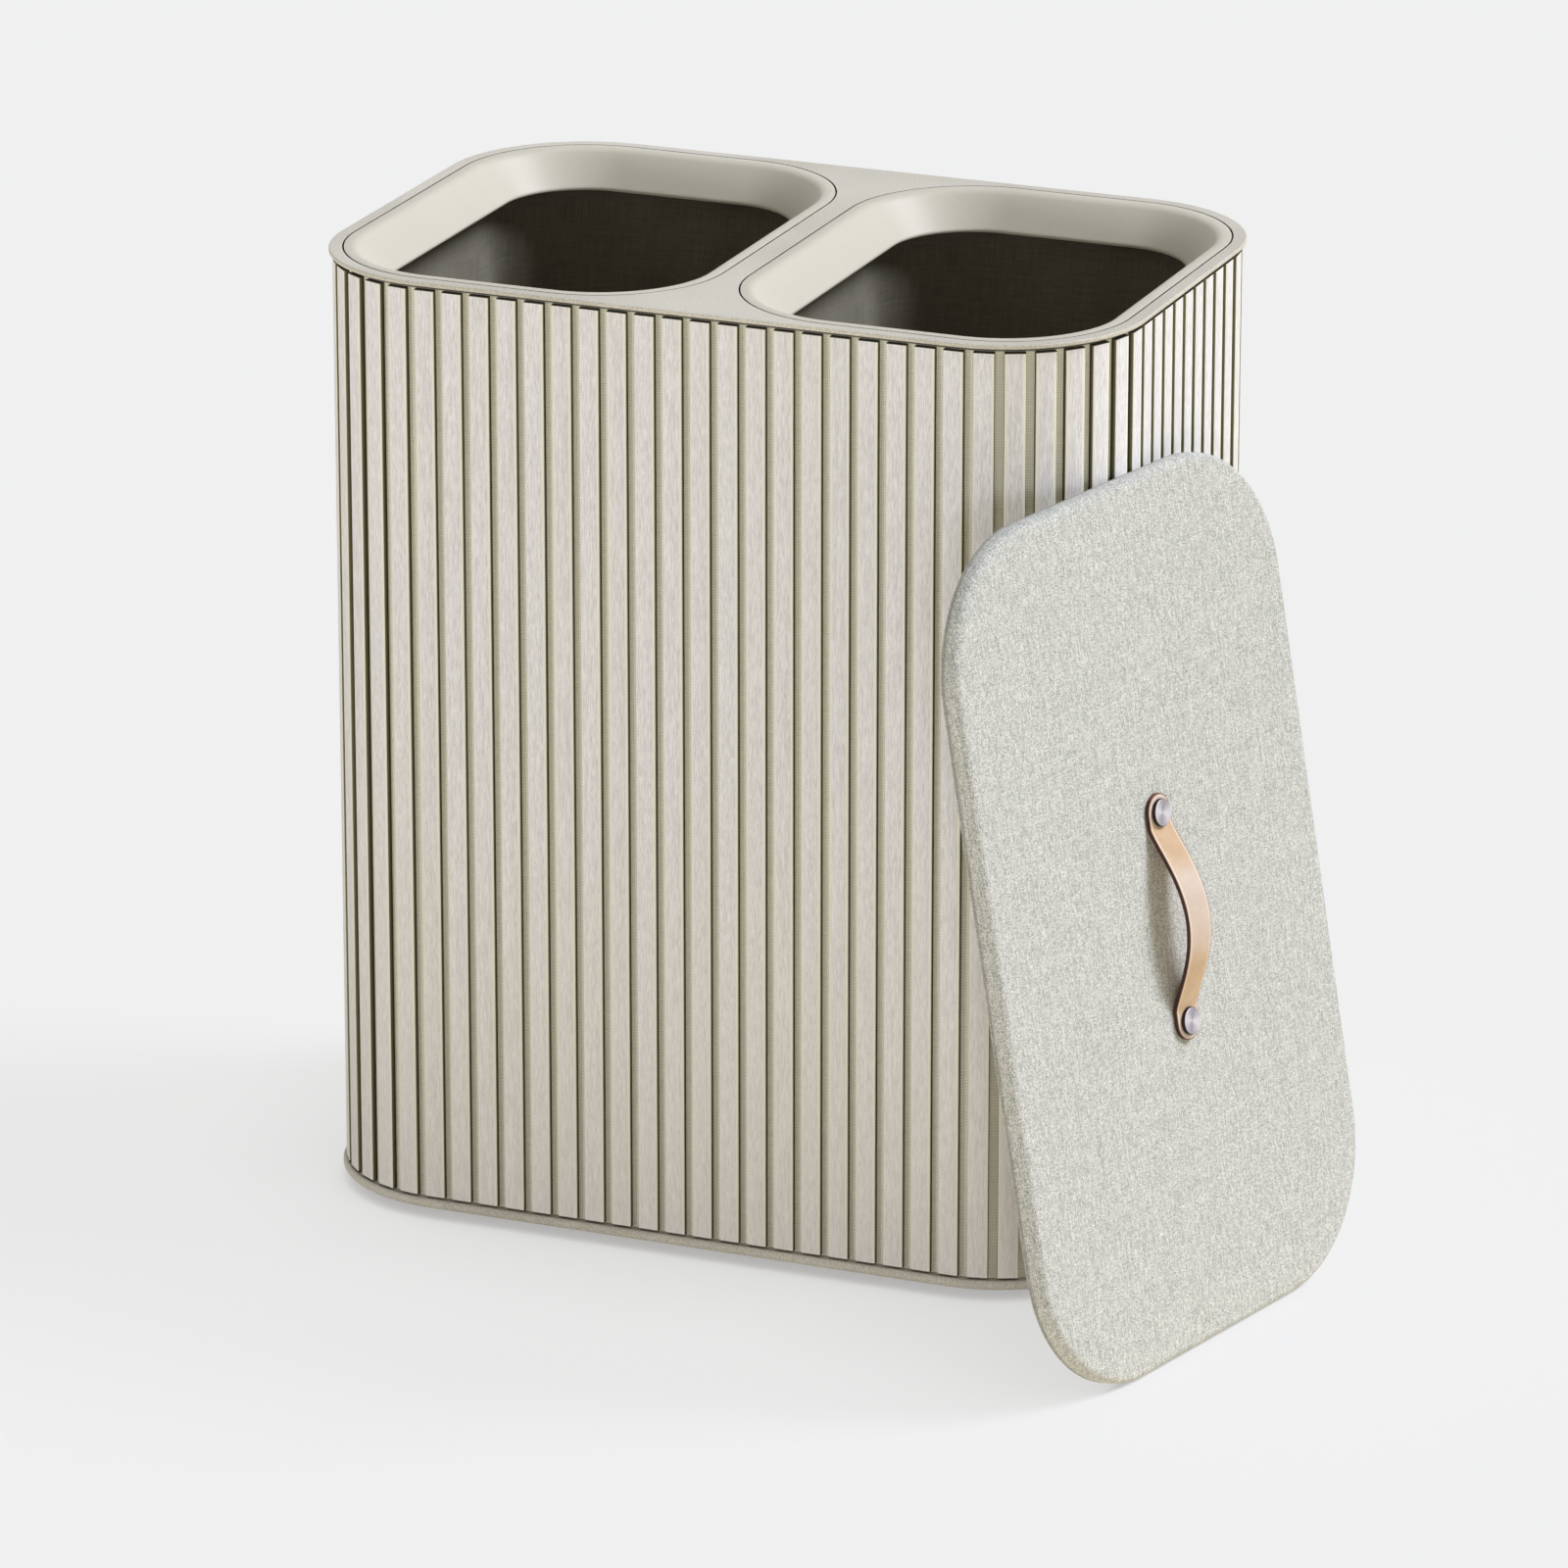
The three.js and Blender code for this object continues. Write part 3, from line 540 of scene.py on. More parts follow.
def stained():
    """The slats' finish. Each slat has its own tone, and its grain is shifted by it."""
    finish = Finish("slat_stain", Specular_IOR_Level=.35)
    tone = finish.attribute("slat_tone")
    across, back, up = finish.split(finish.attribute("slat_place", "Vector"))
    shifted = finish.joined(across + tone * 3.1, tone * 1.7, up + tone * 9.3)

    def grain(scale, detail, roughness=.5):
        return finish.noise(finish.mapped(shifted, scale=scale), 1, detail, roughness)

    fibre = grain((1300, 1, 110), 3, .75)
    streak = grain((430, 1, 22), 4, .62)
    pore = finish.smooth(grain((2300, 1, 170), 1), .6, .74)
    face_tone = finish.smooth(fibre * .75 + streak * .25, .38, .62)
    colour = finish.blend(face_tone, (219, 216, 216), (247, 246, 246))
    colour = finish.blend(pore * .4, colour, (196, 191, 182))
    colour = finish.blend(tone * .12, colour, (206, 200, 190))
    # Both long edges carry a painted pale highlight, the left one uneven.
    highlight_width = .0014 + tone * .0016
    highlight_left = finish.smooth(slat_width / 2 + across + streak * .0014, highlight_width + .0012, highlight_width - .0014)
    highlight_right = finish.smooth(slat_width / 2 - across, .0024, .0012)
    colour = finish.blend(highlight_left * .7, colour, (240, 238, 222))
    colour = finish.blend(highlight_right, colour, (245, 243, 226))
    # Low down a painted warm tint stands in for warm light near the floor. Ends and sides carry painted
    # shade, the sides deepest next to the cloth.
    colour = finish.blend(finish.smooth(up, .4, .02) * .3, colour, (249, 240, 218))
    proud = -back
    slat_side_shade = finish.smooth(proud, slat_thickness - .0003, slat_thickness - .0006)
    slat_side_shade_tone = finish.blend(finish.smooth(proud, .0006, .0034), (52, 48, 30), (128, 121, 94))
    # Painted shade on both ends of each slat.
    ends = finish.smooth(up, slat_length - .0008, slat_length - .0004) + finish.smooth(up, .0008, .0004)
    colour = finish.blend(slat_side_shade, colour, slat_side_shade_tone)
    return finish.feed(Base_Color=finish.blend(ends, colour, (52, 48, 30)),
                       Roughness=.5 + .16 * fibre + .25 * finish.work("MAXIMUM", slat_side_shade, ends),
                       Normal=finish.bump(fibre * .7 + streak * .4 - pore * .6, .00008, .5))


def girth(shape, inset):
    return 2 * (shape.width + shape.depth - 4 * shape.radius) + 2 * math.pi * (shape.radius - inset)


def wrap_path(inset):
    """Points round the body from the middle of its back, anticlockwise, at a depth under the slat faces."""
    ring = outline(slat_faces, inset, 0, steps=40, run=2)
    start = min(range(len(ring)), key=lambda i: (ring[i] - Vector((slat_faces.x, 1, 0))).length)
    return ring[start:] + ring[:start]


cloth_path = wrap_path(slat_thickness)
cloth_length = girth(slat_faces, slat_thickness)
slat_count = round(cloth_length / slat_pitch_wanted)


def slat_pattern():
    """Slats at even steps along a path. Each is a rounded section carried up a rail of four points."""
    plan = Pattern("slats_round_a_path", Slat_Count=slat_count, Slat_Pitch=cloth_length / slat_count,
                   Slat_Width=slat_width, Slat_Thickness=slat_thickness, Glue_Sink=.0004, Edge_Round=.0005,
                   End_Round=.0005, Slat_Foot=slat_foot, Slat_Length=slat_length)
    given = plan.given
    order = plan.add("GeometryNodeInputIndex")[0]
    after_first, after_second, after_third = order > .5, order > 1.5, order > 2.5
    end_round = given["End Round"]
    rail_height = (after_first * end_round + after_second * (given["Slat Length"] - end_round * 2)
                   + after_third * end_round)
    rail = plan.add("GeometryNodeMeshLine", None, {"Count": 4})[0]
    rail = plan.add("GeometryNodeSetPosition", None,
                    {"Geometry": rail, "Position": plan.joined(z=rail_height)})[0]
    rail = plan.add("GeometryNodeMeshToCurve", None, {0: rail})[0]
    end_share = 1 - end_round / given["Slat Width"] * 2
    at_end = 1 - after_first * (1 - after_third)
    rail = plan.add("GeometryNodeSetCurveRadius", None,
                    {"Curve": rail, "Radius": at_end * end_share + (1 - at_end)})[0]
    section = plan.add("GeometryNodeCurvePrimitiveQuadrilateral", {"mode": "RECTANGLE"},
                       {0: given["Slat Width"], 1: given["Slat Thickness"] + given["Glue Sink"]})[0]
    section = plan.add("GeometryNodeFilletCurve", {"mode": "POLY"},
                       {"Curve": section, "Radius": given["Edge Round"], "Count": 3})[0]
    slat = plan.add("GeometryNodeCurveToMesh", None,
                    {"Curve": rail, "Profile Curve": section, "Fill Caps": True})[0]
    slat = plan.moved(slat, plan.joined(y=(given["Glue Sink"] - given["Slat Thickness"]) / 2))
    slat = plan.store(slat, "slat_place", plan.add("GeometryNodeInputPosition")[0], "FLOAT_VECTOR")
    path = plan.add("GeometryNodeMeshToCurve", None, {0: given["Geometry"]})[0]
    reach = (order + 1) * given["Slat Pitch"] - given["Slat Width"] / 2
    sampled = plan.add("GeometryNodeSampleCurve", {"mode": "LENGTH"}, {"Curves": path, "Length": reach})
    feet = plan.add("ShaderNodeVectorMath", {"operation": "ADD"},
                    {0: sampled["Position"], 1: plan.joined(z=given["Slat Foot"])})[0]
    dots = plan.add("GeometryNodePoints", None, {"Count": given["Slat Count"]})[0]
    dots = plan.add("GeometryNodeSetPosition", None, {"Geometry": dots, "Position": feet})[0]
    copies = plan.copies(dots, slat, "X", sampled["Tangent"])
    chance = plan.add("FunctionNodeRandomValue", {"data_type": "FLOAT"}, {"Seed": 17, 2: 0.0, 3: 1.0})[1]
    return plan.end(plan.store(copies, "slat_tone", chance, "FLOAT", "INSTANCE"), stained())


path_mesh = bpy.data.meshes.new("cloth_path")
path_mesh.from_pydata(cloth_path + cloth_path[:1], [(i, i + 1) for i in range(len(cloth_path))], [])
assigned(slat_pattern().made("slats", path_mesh), "root", ["slat_wrap"])


def ribbed():
    """The cloth between the slats: level ribs over a finer warp, and painted shade up under the plate."""
    finish = Finish("slat_cloth", Specular_IOR_Level=.1, Sheen_Weight=.15, Sheen_Roughness=.5)
    up = finish.split(finish.place())[2]
    along = finish.attribute("along")
    yarn = finish.noise(finish.joined(along * 60, 0, up * 900), 1, 3, .6)
    rib = finish.work("SINE", up * (2 * math.pi / .00105) + yarn * 2.2) * .5 + .5
    warp = finish.work("SINE", along * (2 * math.pi / .0016)) * .5 + .5
    light = finish.smooth(rib * .6 + warp * .2 + yarn * .6, .3, .95)
    colour = finish.blend(light, (206, 202, 176), (253, 251, 236))
    # Painted shade on the cloth up under the plate's overhang.
    under_plate_shade = finish.smooth(up, deck_bottom - .0004, deck_bottom + .0004)
    return finish.feed(Base_Color=finish.blend(under_plate_shade * .85, colour, (58, 54, 38)),
                       Roughness=.86 + .1 * yarn, Normal=finish.bump(rib * .7 + warp * .3, .0002, .8))


def mark_along(mesh, rings):
    """Stores how far round its ring each point lies."""
    values = []
    for ring in rings:
        far = 0
        for step, point in enumerate(ring):
            far += (point - ring[step - 1]).length if step else 0
            values.append(far)
    mark(mesh, "along", values)


# The cloth's ends meet at the middle of the back, and the weave is counted from there.
cloth_rings = []
cloth_back = slat_thickness + cloth_thickness
for inset, z in square_section(slat_thickness, cloth_back, wrap_low, wrap_high):
    ring = [Vector((point.x, point.y, z)) for point in wrap_path(inset)]
    cloth_rings.append(ring + [ring[0].lerp(ring[-1], .02)])
cloth_mesh = skin(cloth_rings, closed=True)
mark_along(cloth_mesh, cloth_rings)
ribbed_cloth = piece("ribbed_cloth", [cloth_mesh], [ribbed()], "root", ["slat_wrap"])


# The top frame is one satin moulding: a plate with round edges and two openings, a ledge under each
# opening for a collar to rest on, and a spigot that plugs into the shell and is screwed to it.

hairline = .0008
ledge = .005
collar_inset = .010
web = .019
bin_width = (slat_faces.width + 2 * rim_outset - 2 * collar_inset - web) / 2
bin_shift = (bin_width + web) / 2
bins = {name: Footprint(slat_faces.x + side * bin_shift, slat_faces.y, bin_width,
                        slat_faces.depth + 2 * rim_outset - 2 * collar_inset,
                        slat_faces.radius + rim_outset - collar_inset)
        for name, side in (("left", -1), ("right", 1))}


def pierced(outer, holes):
    """A plate's closed mesh from the rings up its rim and up the edge of each opening."""
    work = bmesh.new()
    ends = {0: [], -1: []}
    for rings in [outer, *holes]:
        loops = [[work.verts.new(point) for point in ring] for ring in rings]
        for low, high in zip(loops, loops[1:]):
            for side in range(len(low)):
                ahead = (side + 1) % len(low)
                work.faces.new((low[side], low[ahead], high[ahead], high[side]))
        for end in ends:
            loop = loops[end]
            ends[end] += [work.edges.get((loop[side], loop[side - 1])) for side in range(len(loop))]
    for edges in ends.values():
        bmesh.ops.triangle_fill(work, use_beauty=True, edges=edges)
    mesh = bpy.data.meshes.new("pierced")
    work.to_mesh(mesh)
    work.free()
    return mesh


plate_round = .0011
fine_steps = 36
into_plate = plate_bottom + .0001
into_deck = deck_bottom + .0001
spigot_foot = deck_bottom - .022
plate_rim = rings_at(slat_faces, rounded_levels(rim_outset, plate_bottom, plate_top, plate_round), fine_steps)
plate_edge = [(-hairline, plate_bottom), (-hairline, plate_top - .0002),
              (-hairline - .00006, plate_top - .00006), (-hairline - .0002, plate_top)]
deck_rim = rings_at(slat_faces, [(spigot_outer, deck_bottom), (spigot_outer, into_plate)])
deck_edge = [(ledge, deck_bottom), (ledge, into_plate)]
frame_shells = [
    pierced(plate_rim, [rings_at(shape, plate_edge, fine_steps) for shape in bins.values()]),
    pierced(deck_rim, [rings_at(shape, deck_edge) for shape in bins.values()]),
    hoop_band(slat_faces, square_section(spigot_outer, spigot_inner, spigot_foot, into_deck)),
]

# Painted shade for the hairline gap round each opening, a little mottled.
gap_shadow = Finish("gap_shadow", Specular_IOR_Level=.1, Roughness=.9)
gap_shade_mottle = gap_shadow.noise(gap_shadow.place(), 300, 2)
gap_shadow.feed(Base_Color=gap_shadow.blend(gap_shade_mottle, (6, 6, 5), (16, 15, 12)))


def depth_inside(shape, point):
    """How far a point lies inside an outline, seen from above. It is less than zero outside."""
    half_x, half_y = straight_halves(shape)
    x = abs(point.x - shape.x) - half_x
    y = abs(point.y - shape.y) - half_y
    return shape.radius - math.hypot(max(x, 0), max(y, 0)) - min(max(x, y), 0)


def shade_gap(item):
    """Paints shade on the sides and the floor of the hairline gap round each opening."""
    for face in item.data.polygons:
        if face.center.z > plate_top - .0001:
            continue
        near = min(abs(depth_inside(shape, face.center)) for shape in bins.values())
        wall = near < hairline + .0002 and abs(face.normal.z) < .3 and face.center.z > plate_bottom
        ledge_top = face.normal.z > .9 and abs(face.center.z - plate_bottom) < .0005
        if wall or ledge_top:
            face.material_index = 1


shade_gap(piece("frame_moulding", frame_shells, [plate_satin, gap_shadow], "root", ["top_frame"]))


# Each bin hangs by a moulded collar that drops into the frame with a hairline gap: a flat flange, a
# turn, and a funnel that slopes straight to its rounded lip. A plain ring glued under the turn takes
# the bag's hem.

collar_satin = moulded("collar_satin", (217, 210, 193), (208, 202, 184), .42, .00004, 1100)
collar_flat = .0055
turn_radius = .008
throat_inset, throat_drop, lip_drop = .031, .0228, .0248
collar_wall = .0028
edge_inset = .0003
hem_ring_outer, hem_ring_inner, hem_ring_drop = .0062, .0086, .0042
slope_run, slope_fall = throat_inset - collar_flat, throat_drop - turn_radius
funnel_turn = (math.atan2(slope_fall, slope_run)
               + math.asin(turn_radius / math.hypot(slope_run, slope_fall)))


def turn_levels(depth):
    """Inset and height round the turn, at a depth under the collar's face."""
    radius = turn_radius - depth
    return [(collar_flat + radius * math.sin(angle), -turn_radius + radius * math.cos(angle))
            for angle in (funnel_turn * step / 12 for step in range(13))]


def collar_levels():
    """Inset and height round the collar's section, from under its flange up, in, down and back."""
    outside, inside = turn_levels(0), turn_levels(collar_wall)
    levels = [(edge_inset, -collar_wall), (edge_inset, -.0002), (edge_inset + .00006, -.00006),
              (edge_inset + .0002, 0)] + outside
    start, lip_start = outside[-1], (throat_inset - .0007, -throat_drop + .0007)
    for share in (.05, .25, .5, .75, .95, 1):
        levels.append((start[0] + (lip_start[0] - start[0]) * share,
                       start[1] + (lip_start[1] - start[1]) * share))
    back = throat_inset - collar_wall
    levels += [(throat_inset - .0003, -throat_drop + .0002), (throat_inset - .00005, -throat_drop - .0004),
               (throat_inset, -throat_drop - .0009), (throat_inset - .0002, -lip_drop + .0004),
               (throat_inset - .0007, -lip_drop), (throat_inset - .0022, -lip_drop),
               (back, -lip_drop + .0006),
               (back, inside[-1][1] - (back - inside[-1][0]) * math.tan(funnel_turn))]
    levels += inside[::-1]
    return [(inset, plate_top + height) for inset, height in levels]


for name, shape in bins.items():
    shade_gap(piece("collar_moulding_" + name, [hoop_band(shape, collar_levels(), fine_steps)],
                    [collar_satin, gap_shadow], "bin_" + name, ["collar_" + name],
                    flat_faces=False))
    hem_low, hem_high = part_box("hem_ring_" + name)[0].z, plate_top - hem_ring_drop
    piece("hem_band_" + name,
          [hoop_band(shape, square_section(hem_ring_outer, hem_ring_inner, hem_low, hem_high))],
          [collar_satin], "bin_" + name, ["hem_ring_" + name])


# Each bag is plain woven cotton with a hem that lies inside the hem ring, pressed to it there by a
# sprung wire hoop, and it hangs in soft upright folds over a stiff board that lies in its bottom.

bag_inset = .0089
bag_wall = .0009
bag_low = {name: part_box("bag_bottom_" + name)[0].z for name in bins}
bag_top = plate_top - .0062
bag_round = .014
hem_length = .0225
slack, fold_height, crumple_height = .0052, .0022, .0052
thread = 2 * math.pi / .0011

bag_cotton = Finish("bag_cotton", Specular_IOR_Level=.15, Sheen_Weight=.2, Sheen_Roughness=.5)
bag_along = bag_cotton.attribute("along")
bag_down = bag_cotton.attribute("down")
slubs_down = bag_cotton.noise(bag_cotton.joined(bag_along * 900, bag_down * 40, 0), 1, 3, .6)
slubs_along = bag_cotton.noise(bag_cotton.joined(bag_along * 40, bag_down * 900, 7), 1, 3, .6)
slubs = slubs_down * .5 + slubs_along * .5
weave = bag_cotton.work("SINE", bag_along * thread) * bag_cotton.work("SINE", bag_down * thread) * .5 + .5
bag_colour = bag_cotton.blend(bag_cotton.smooth(slubs, .3, .7), (112, 107, 92), (142, 137, 120))
bag_cotton.feed(Base_Color=bag_cotton.blend(weave * .22, bag_colour, (92, 88, 74)),
                Roughness=.85 + .12 * slubs,
                Normal=bag_cotton.bump(weave * .6 + slubs * .6, .00022, .7))


def bag_rings(shape, low, seed):
    """The bag's single layer, ring by ring down its wall and in over its bottom."""
    chance = random.Random(seed)
    phases = [chance.uniform(0, 2 * math.pi) for _ in range(3)]
    half_x, half_y = straight_halves(shape)

    def plain(inset, z):
        return outline(shape, inset, z, 22, 26)

    def inwards(point):
        nearest = Vector((shape.x + max(-half_x, min(half_x, point.x - shape.x)),
                          shape.y + max(-half_y, min(half_y, point.y - shape.y)), point.z))
        return (nearest - point).normalized()

    hem = [bag_top - .001 - hem_length * step / 3 for step in range(4)]
    span = hem[-1] - (low + bag_round)
    rings = []
    for z in hem + [hem[-1] - span * step / 44 for step in range(1, 45)]:
        share = (hem[-1] - z) / span
        # The folds start under the hem and die away towards the bottom.
        hold = max(0, min(1, share * 5)) * max(0, min(1, (1 - share) * 4 + .12))
        wall = plain(bag_inset, z)
        ring = []
        for step, point in enumerate(wall):
            angle = 2 * math.pi * step / len(wall)
            sway = (math.sin(9 * angle + phases[0] + 1.6 * share)
                    + .7 * math.sin(15 * angle + phases[1] - 2.2 * share)
                    + .5 * math.sin(23 * angle + phases[2] + 3 * share))
            crumple = noise.fractal(Vector((point.x * 16, point.y * 16, z * 7 + seed)), .6, 2, 3)
            push = hold * (slack + fold_height * sway + crumple_height * crumple)
            ring.append(point + inwards(point) * max(push, 0))
        rings.append(ring)
    foot, plain_foot = rings[-1], plain(bag_inset, rings[-1][0].z)
    for step, angle in enumerate(quarter_turn(8)):
        if step:
            base = plain(bag_inset + bag_round * (1 - math.cos(angle)),
                         low + bag_round * (1 - math.sin(angle)))
            rings.append([point + (folded - straight) * (1 - step / 8)
                          for point, folded, straight in zip(base, foot, plain_foot)])
    return rings + [plain(inset, low) for inset in (.03, .04, .055, .072)]


def bag(name, shape, seed):
    """A bag of one layer of cloth with a wall. Its weave is counted along each ring and down the bag."""
    low = bag_low[name]
    rings = bag_rings(shape, low, seed)
    mesh = skin(rings, open_start=True)
    mark_along(mesh, rings)
    down = []
    for ring in rings:
        over_bottom = (ring[0] - rings[3][0]).length if ring[0].z <= low + .001 else 0
        down += [rings[0][0].z - ring[0].z + over_bottom] * len(ring)
    mark(mesh, "down", down)
    item = piece("cotton_bag_" + name, [mesh], [bag_cotton], "bin_" + name,
                 ["bag_" + name, "bag_bottom_" + name], crease=60, flat_faces=False)
    wall = item.modifiers.new("wall", "SOLIDIFY")
    wall.thickness, wall.offset = bag_wall, -1
    settled(item)
    return item


hoop_radius = .0015
hoop_inset = .0119
hoop_drop = .024
board_inset, board_round = .0244, .0011
wire = [(hoop_inset - hoop_radius * math.cos(angle), plate_top - hoop_drop + hoop_radius * math.sin(angle))
        for angle in (2 * math.pi * side / 12 for side in range(12))]
for name, shape in bins.items():
    bag_item = bag(name, shape, 5 if name == "left" else 12)
    bag_girth = girth(shape, bag_inset)
    bottom_area = (shape.width - 2 * bag_inset) * (shape.depth - 2 * bag_inset)
    bag_top - bag_low[name] + bottom_area / bag_girth
    "bag_hoop_" + name
    piece("wire_hoop_" + name, [hoop_band(shape, wire, 32)], [plated_steel], "bin_" + name,
          ["bag_hoop_" + name], crease=60, flat_faces=False)
    board_low, board_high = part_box("bag_board_" + name)
    piece("bottom_board_" + name,
          [slab(shape, rounded_levels(-board_inset, board_low.z, board_high.z, board_round, 4), 20)],
          [bag_cotton], "bin_" + name, ["bag_board_" + name])


# The lid is a board wrapped in melange linen over a thin wadding that softens its edge. The cloth is
# stretched round the edge and the corners and glued down on the back in a hem.

lid_length, lid_depth, lid_radius = .5834, .3837, .0992
lid_thickness = .014
lean, swing = math.radians(10.26), math.radians(-13.38)
lid_out = Vector((math.cos(swing), math.sin(swing), 0))
lid_across = Vector((-math.sin(swing), math.cos(swing), 0))
lid_up = Vector((0, 0, math.cos(lean))) - lid_out * math.sin(lean)
lid_face = Vector((0, 0, math.sin(lean))) + lid_out * math.cos(lean)
cover_low, cover_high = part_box("lid_cover")
lid_foot = (cover_low + cover_high) / 2 - lid_up * lid_length / 2 - lid_face * lid_thickness / 2
lid_turn = Matrix((lid_across, lid_up, lid_face)).transposed()
lid_frame = Matrix.Translation(lid_foot) @ lid_turn.to_4x4()
lid_shape = Footprint(0, lid_length / 2, lid_depth, lid_length, lid_radius)


def on_lid(finish):
    """Where a point lies on the lid: across it, up it from its foot and out of its back."""
    back = lid_turn.transposed()
    return finish.mapped(finish.place(), location=-(back @ lid_foot), rotation=back.to_euler("XYZ"))


def leaned(rings):
    """Rings drawn flat on the lid, taken to where it leans."""
    return [[lid_frame @ point for point in ring] for ring in rings]


def linen(name, flat_place, side=None):
    """Melange linen: slubby yarns of two greys and a cream, woven plain, with a slight sheen.

    Where side says how a point lies on the lid, the low part of the lid's edge gets painted shade."""
    finish = Finish(name, Specular_IOR_Level=.12, Sheen_Weight=.18, Sheen_Roughness=.45)
    across, up, out = finish.split(flat_place(finish))
    yarn = .00046
    column, row = finish.work("FLOOR", across / yarn), finish.work("FLOOR", up / yarn)

    def chance(x, y, z):
        return finish.add("ShaderNodeTexWhiteNoise", {"noise_dimensions": "3D"},
                          {"Vector": finish.joined(x, y, z)})[0]

    def yarn_tone(number, along, slub, seed):
        """A yarn is spun of lengths, each with its own shade, and differs a little all through."""
        length = finish.work("FLOOR", along / slub + chance(number, seed, 0) * 9)
        return chance(number, length, seed) * .8 + chance(number, seed, 5) * .2

    warp, weft = yarn_tone(column, up, .006, 1), yarn_tone(row, across, .0016, 2)
    on_top = finish.work("FRACT", (column + row) / 2) * 2
    tone = (warp * on_top + weft * (1 - on_top)) * .55 + chance(column, row, 7) * .45
    hump = (abs(finish.work("SINE", across * (math.pi / yarn)))
            * abs(finish.work("SINE", up * (math.pi / yarn))))
    cloud = finish.noise(finish.joined(across, up, 3), 24, 2)
    colour = finish.blend(finish.smooth(tone, .25, .75), (150, 152, 147), (251, 250, 243))
    colour = finish.blend((tone > .86) * .4, colour, (250, 248, 240))
    colour = finish.blend(finish.smooth(hump, .3, .0) * .3, colour, (142, 143, 134))
    colour = finish.blend(cloud * .12, colour, (206, 207, 196))
    if side:
        out = finish.split(side(finish))[2]
        # Painted shade on the low part of the lid's edge.
        low_side_shade = finish.smooth(out, .0050, .0028) * finish.smooth(out, .0010, .0020)
        colour = finish.blend(low_side_shade * .5, colour, (116, 108, 90))
    return finish.feed(Base_Color=colour, Roughness=.8 + .15 * tone,
                       Normal=finish.bump(hump * .7 + tone * .3, .0002, .8))


lid_linen = linen("lid_linen", lambda finish: finish.attribute("cloth", "Vector"), on_lid)
hem_width = .022
edge_round = .0055
back_round = .002


def cover_levels():
    """Inset, height and distance of the cloth from the lid's middle, from the face round to the hem."""
    levels = [(inset, lid_thickness, inset) for inset in (.060, .040, .022, .012, .0075)]
    for angle in quarter_turn(12):
        levels.append((edge_round - edge_round * math.sin(angle),
                       lid_thickness - edge_round + edge_round * math.cos(angle),
                       edge_round - edge_round * angle))
    far = edge_round - edge_round * math.pi / 2
    for z in (.0062, .0044, .0028):
        levels.append((0, z, far - (lid_thickness - edge_round - z)))
    far -= lid_thickness - edge_round - back_round
    for angle in quarter_turn(6):
        levels.append((back_round * (1 - math.cos(angle)), back_round * (1 - math.sin(angle)),
                       far - back_round * angle))
    far -= back_round * math.pi / 2
    for inset in (.004, .007, .010, .014, .018, .0215):
        levels.append((inset, 0, far - (inset - back_round)))
    for z in (.0004, .0009):
        levels.append((hem_width, z, far - hem_width + back_round - z))
    return levels + [(inset, .001, far - hem_width) for inset in (.020, .003)]


cover_rings, flat_spots = [], []
for inset, z, flat_inset in reversed(cover_levels()):
    cover_rings.append(outline(lid_shape, inset, z, 30, 24))
    for point in outline(lid_shape, flat_inset, 0, 30, 24):
        flat_spots += [point.x, point.y, 0]
cover_mesh = skin(leaned(cover_rings))
mark(cover_mesh, "cloth", flat_spots, "FLOAT_VECTOR")
lid_cloth = piece("lid_cloth", [cover_mesh], [lid_linen], "lid", ["lid_cover"], crease=50)


# Under the cloth is a light fibre board, and a plain linen panel covers the middle of its back up to
# the hem. The strap's screws go into flanged nuts that are let into the board.

core_fibre = veneer("core_fibre", (196, 178, 142), (168, 148, 112))
for node, finish in (("lid_core", core_fibre), ("strap_nut_lower", plated_steel),
                     ("strap_nut_upper", plated_steel)):
    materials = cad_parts[node].data.materials
    materials.clear()
    materials.append(finish.material)

back_linen = linen("back_linen", on_lid)
panel_inset = hem_width + .0003
panel_mesh = skin(leaned(rings_at(lid_shape, [(panel_inset, .0003), (panel_inset, .0010)], 30)))
back_panel = piece("lid_back_panel", [panel_mesh], [back_linen], "lid", ["lid_backing"])


# The strap is one band of vegetable tanned leather, cut with round ends. Its edges are dyed dark and
# burnished, with a pale crease beside them, and it bows out between its two screws.

strap_half_width = .013
strap_thickness = .0028
strap_hole = .072
strap_span = strap_hole - .009
strap_bow = .0205
strap_middle = Vector((.007, lid_length / 2 - .0025, lid_thickness + .0003))


def strap_height(y):
    share = min(1, abs(y) / strap_span)
    return strap_bow * (1 - share ** 2) ** 1.35


def strap_section(y):
    """The ring round the strap's section at one place along it, drawn flat on the lid."""
    beyond = max(abs(y) - strap_hole, 0)
    half = math.sqrt(max(strap_half_width ** 2 - beyond ** 2, 1e-9))
    probe = .0004
    tilt = math.atan((strap_height(y + probe) - strap_height(y - probe)) / (2 * probe))
    soft = min(.0006, half * .4)
    edge = half - soft
    sines = [soft * math.sin(angle) for angle in quarter_turn(3)]
    cosines = sines[::-1]
    ring = [(-edge, 0), (edge, 0)]
    ring += [(edge + sine, soft - cosine) for sine, cosine in zip(sines, cosines)][1:]
    ring += [(edge + cosine, strap_thickness - (soft - sine)) for sine, cosine in zip(sines, cosines)]
    ring += [(share * half, strap_thickness + .0002 * (1 - share ** 2))
             for share in (.88, .7, .35, 0, -.35, -.7, -.88)]
    ring += [(-edge - sine, strap_thickness - (soft - cosine)) for sine, cosine in zip(sines, cosines)]
    ring += [(-edge - cosine, soft - sine) for sine, cosine in zip(sines, cosines)][:-1]
    return [strap_middle + Vector((x, y - lift * math.sin(tilt), strap_height(y) + lift * math.cos(tilt)))
            for x, lift in ring]


strap_end = [strap_hole + strap_half_width * math.sin(angle) for angle in reversed(quarter_turn(18))]
stations = ([-y for y in strap_end] + [strap_hole * (2 * step / 90 - 1) for step in range(1, 90)]
            + strap_end[::-1])


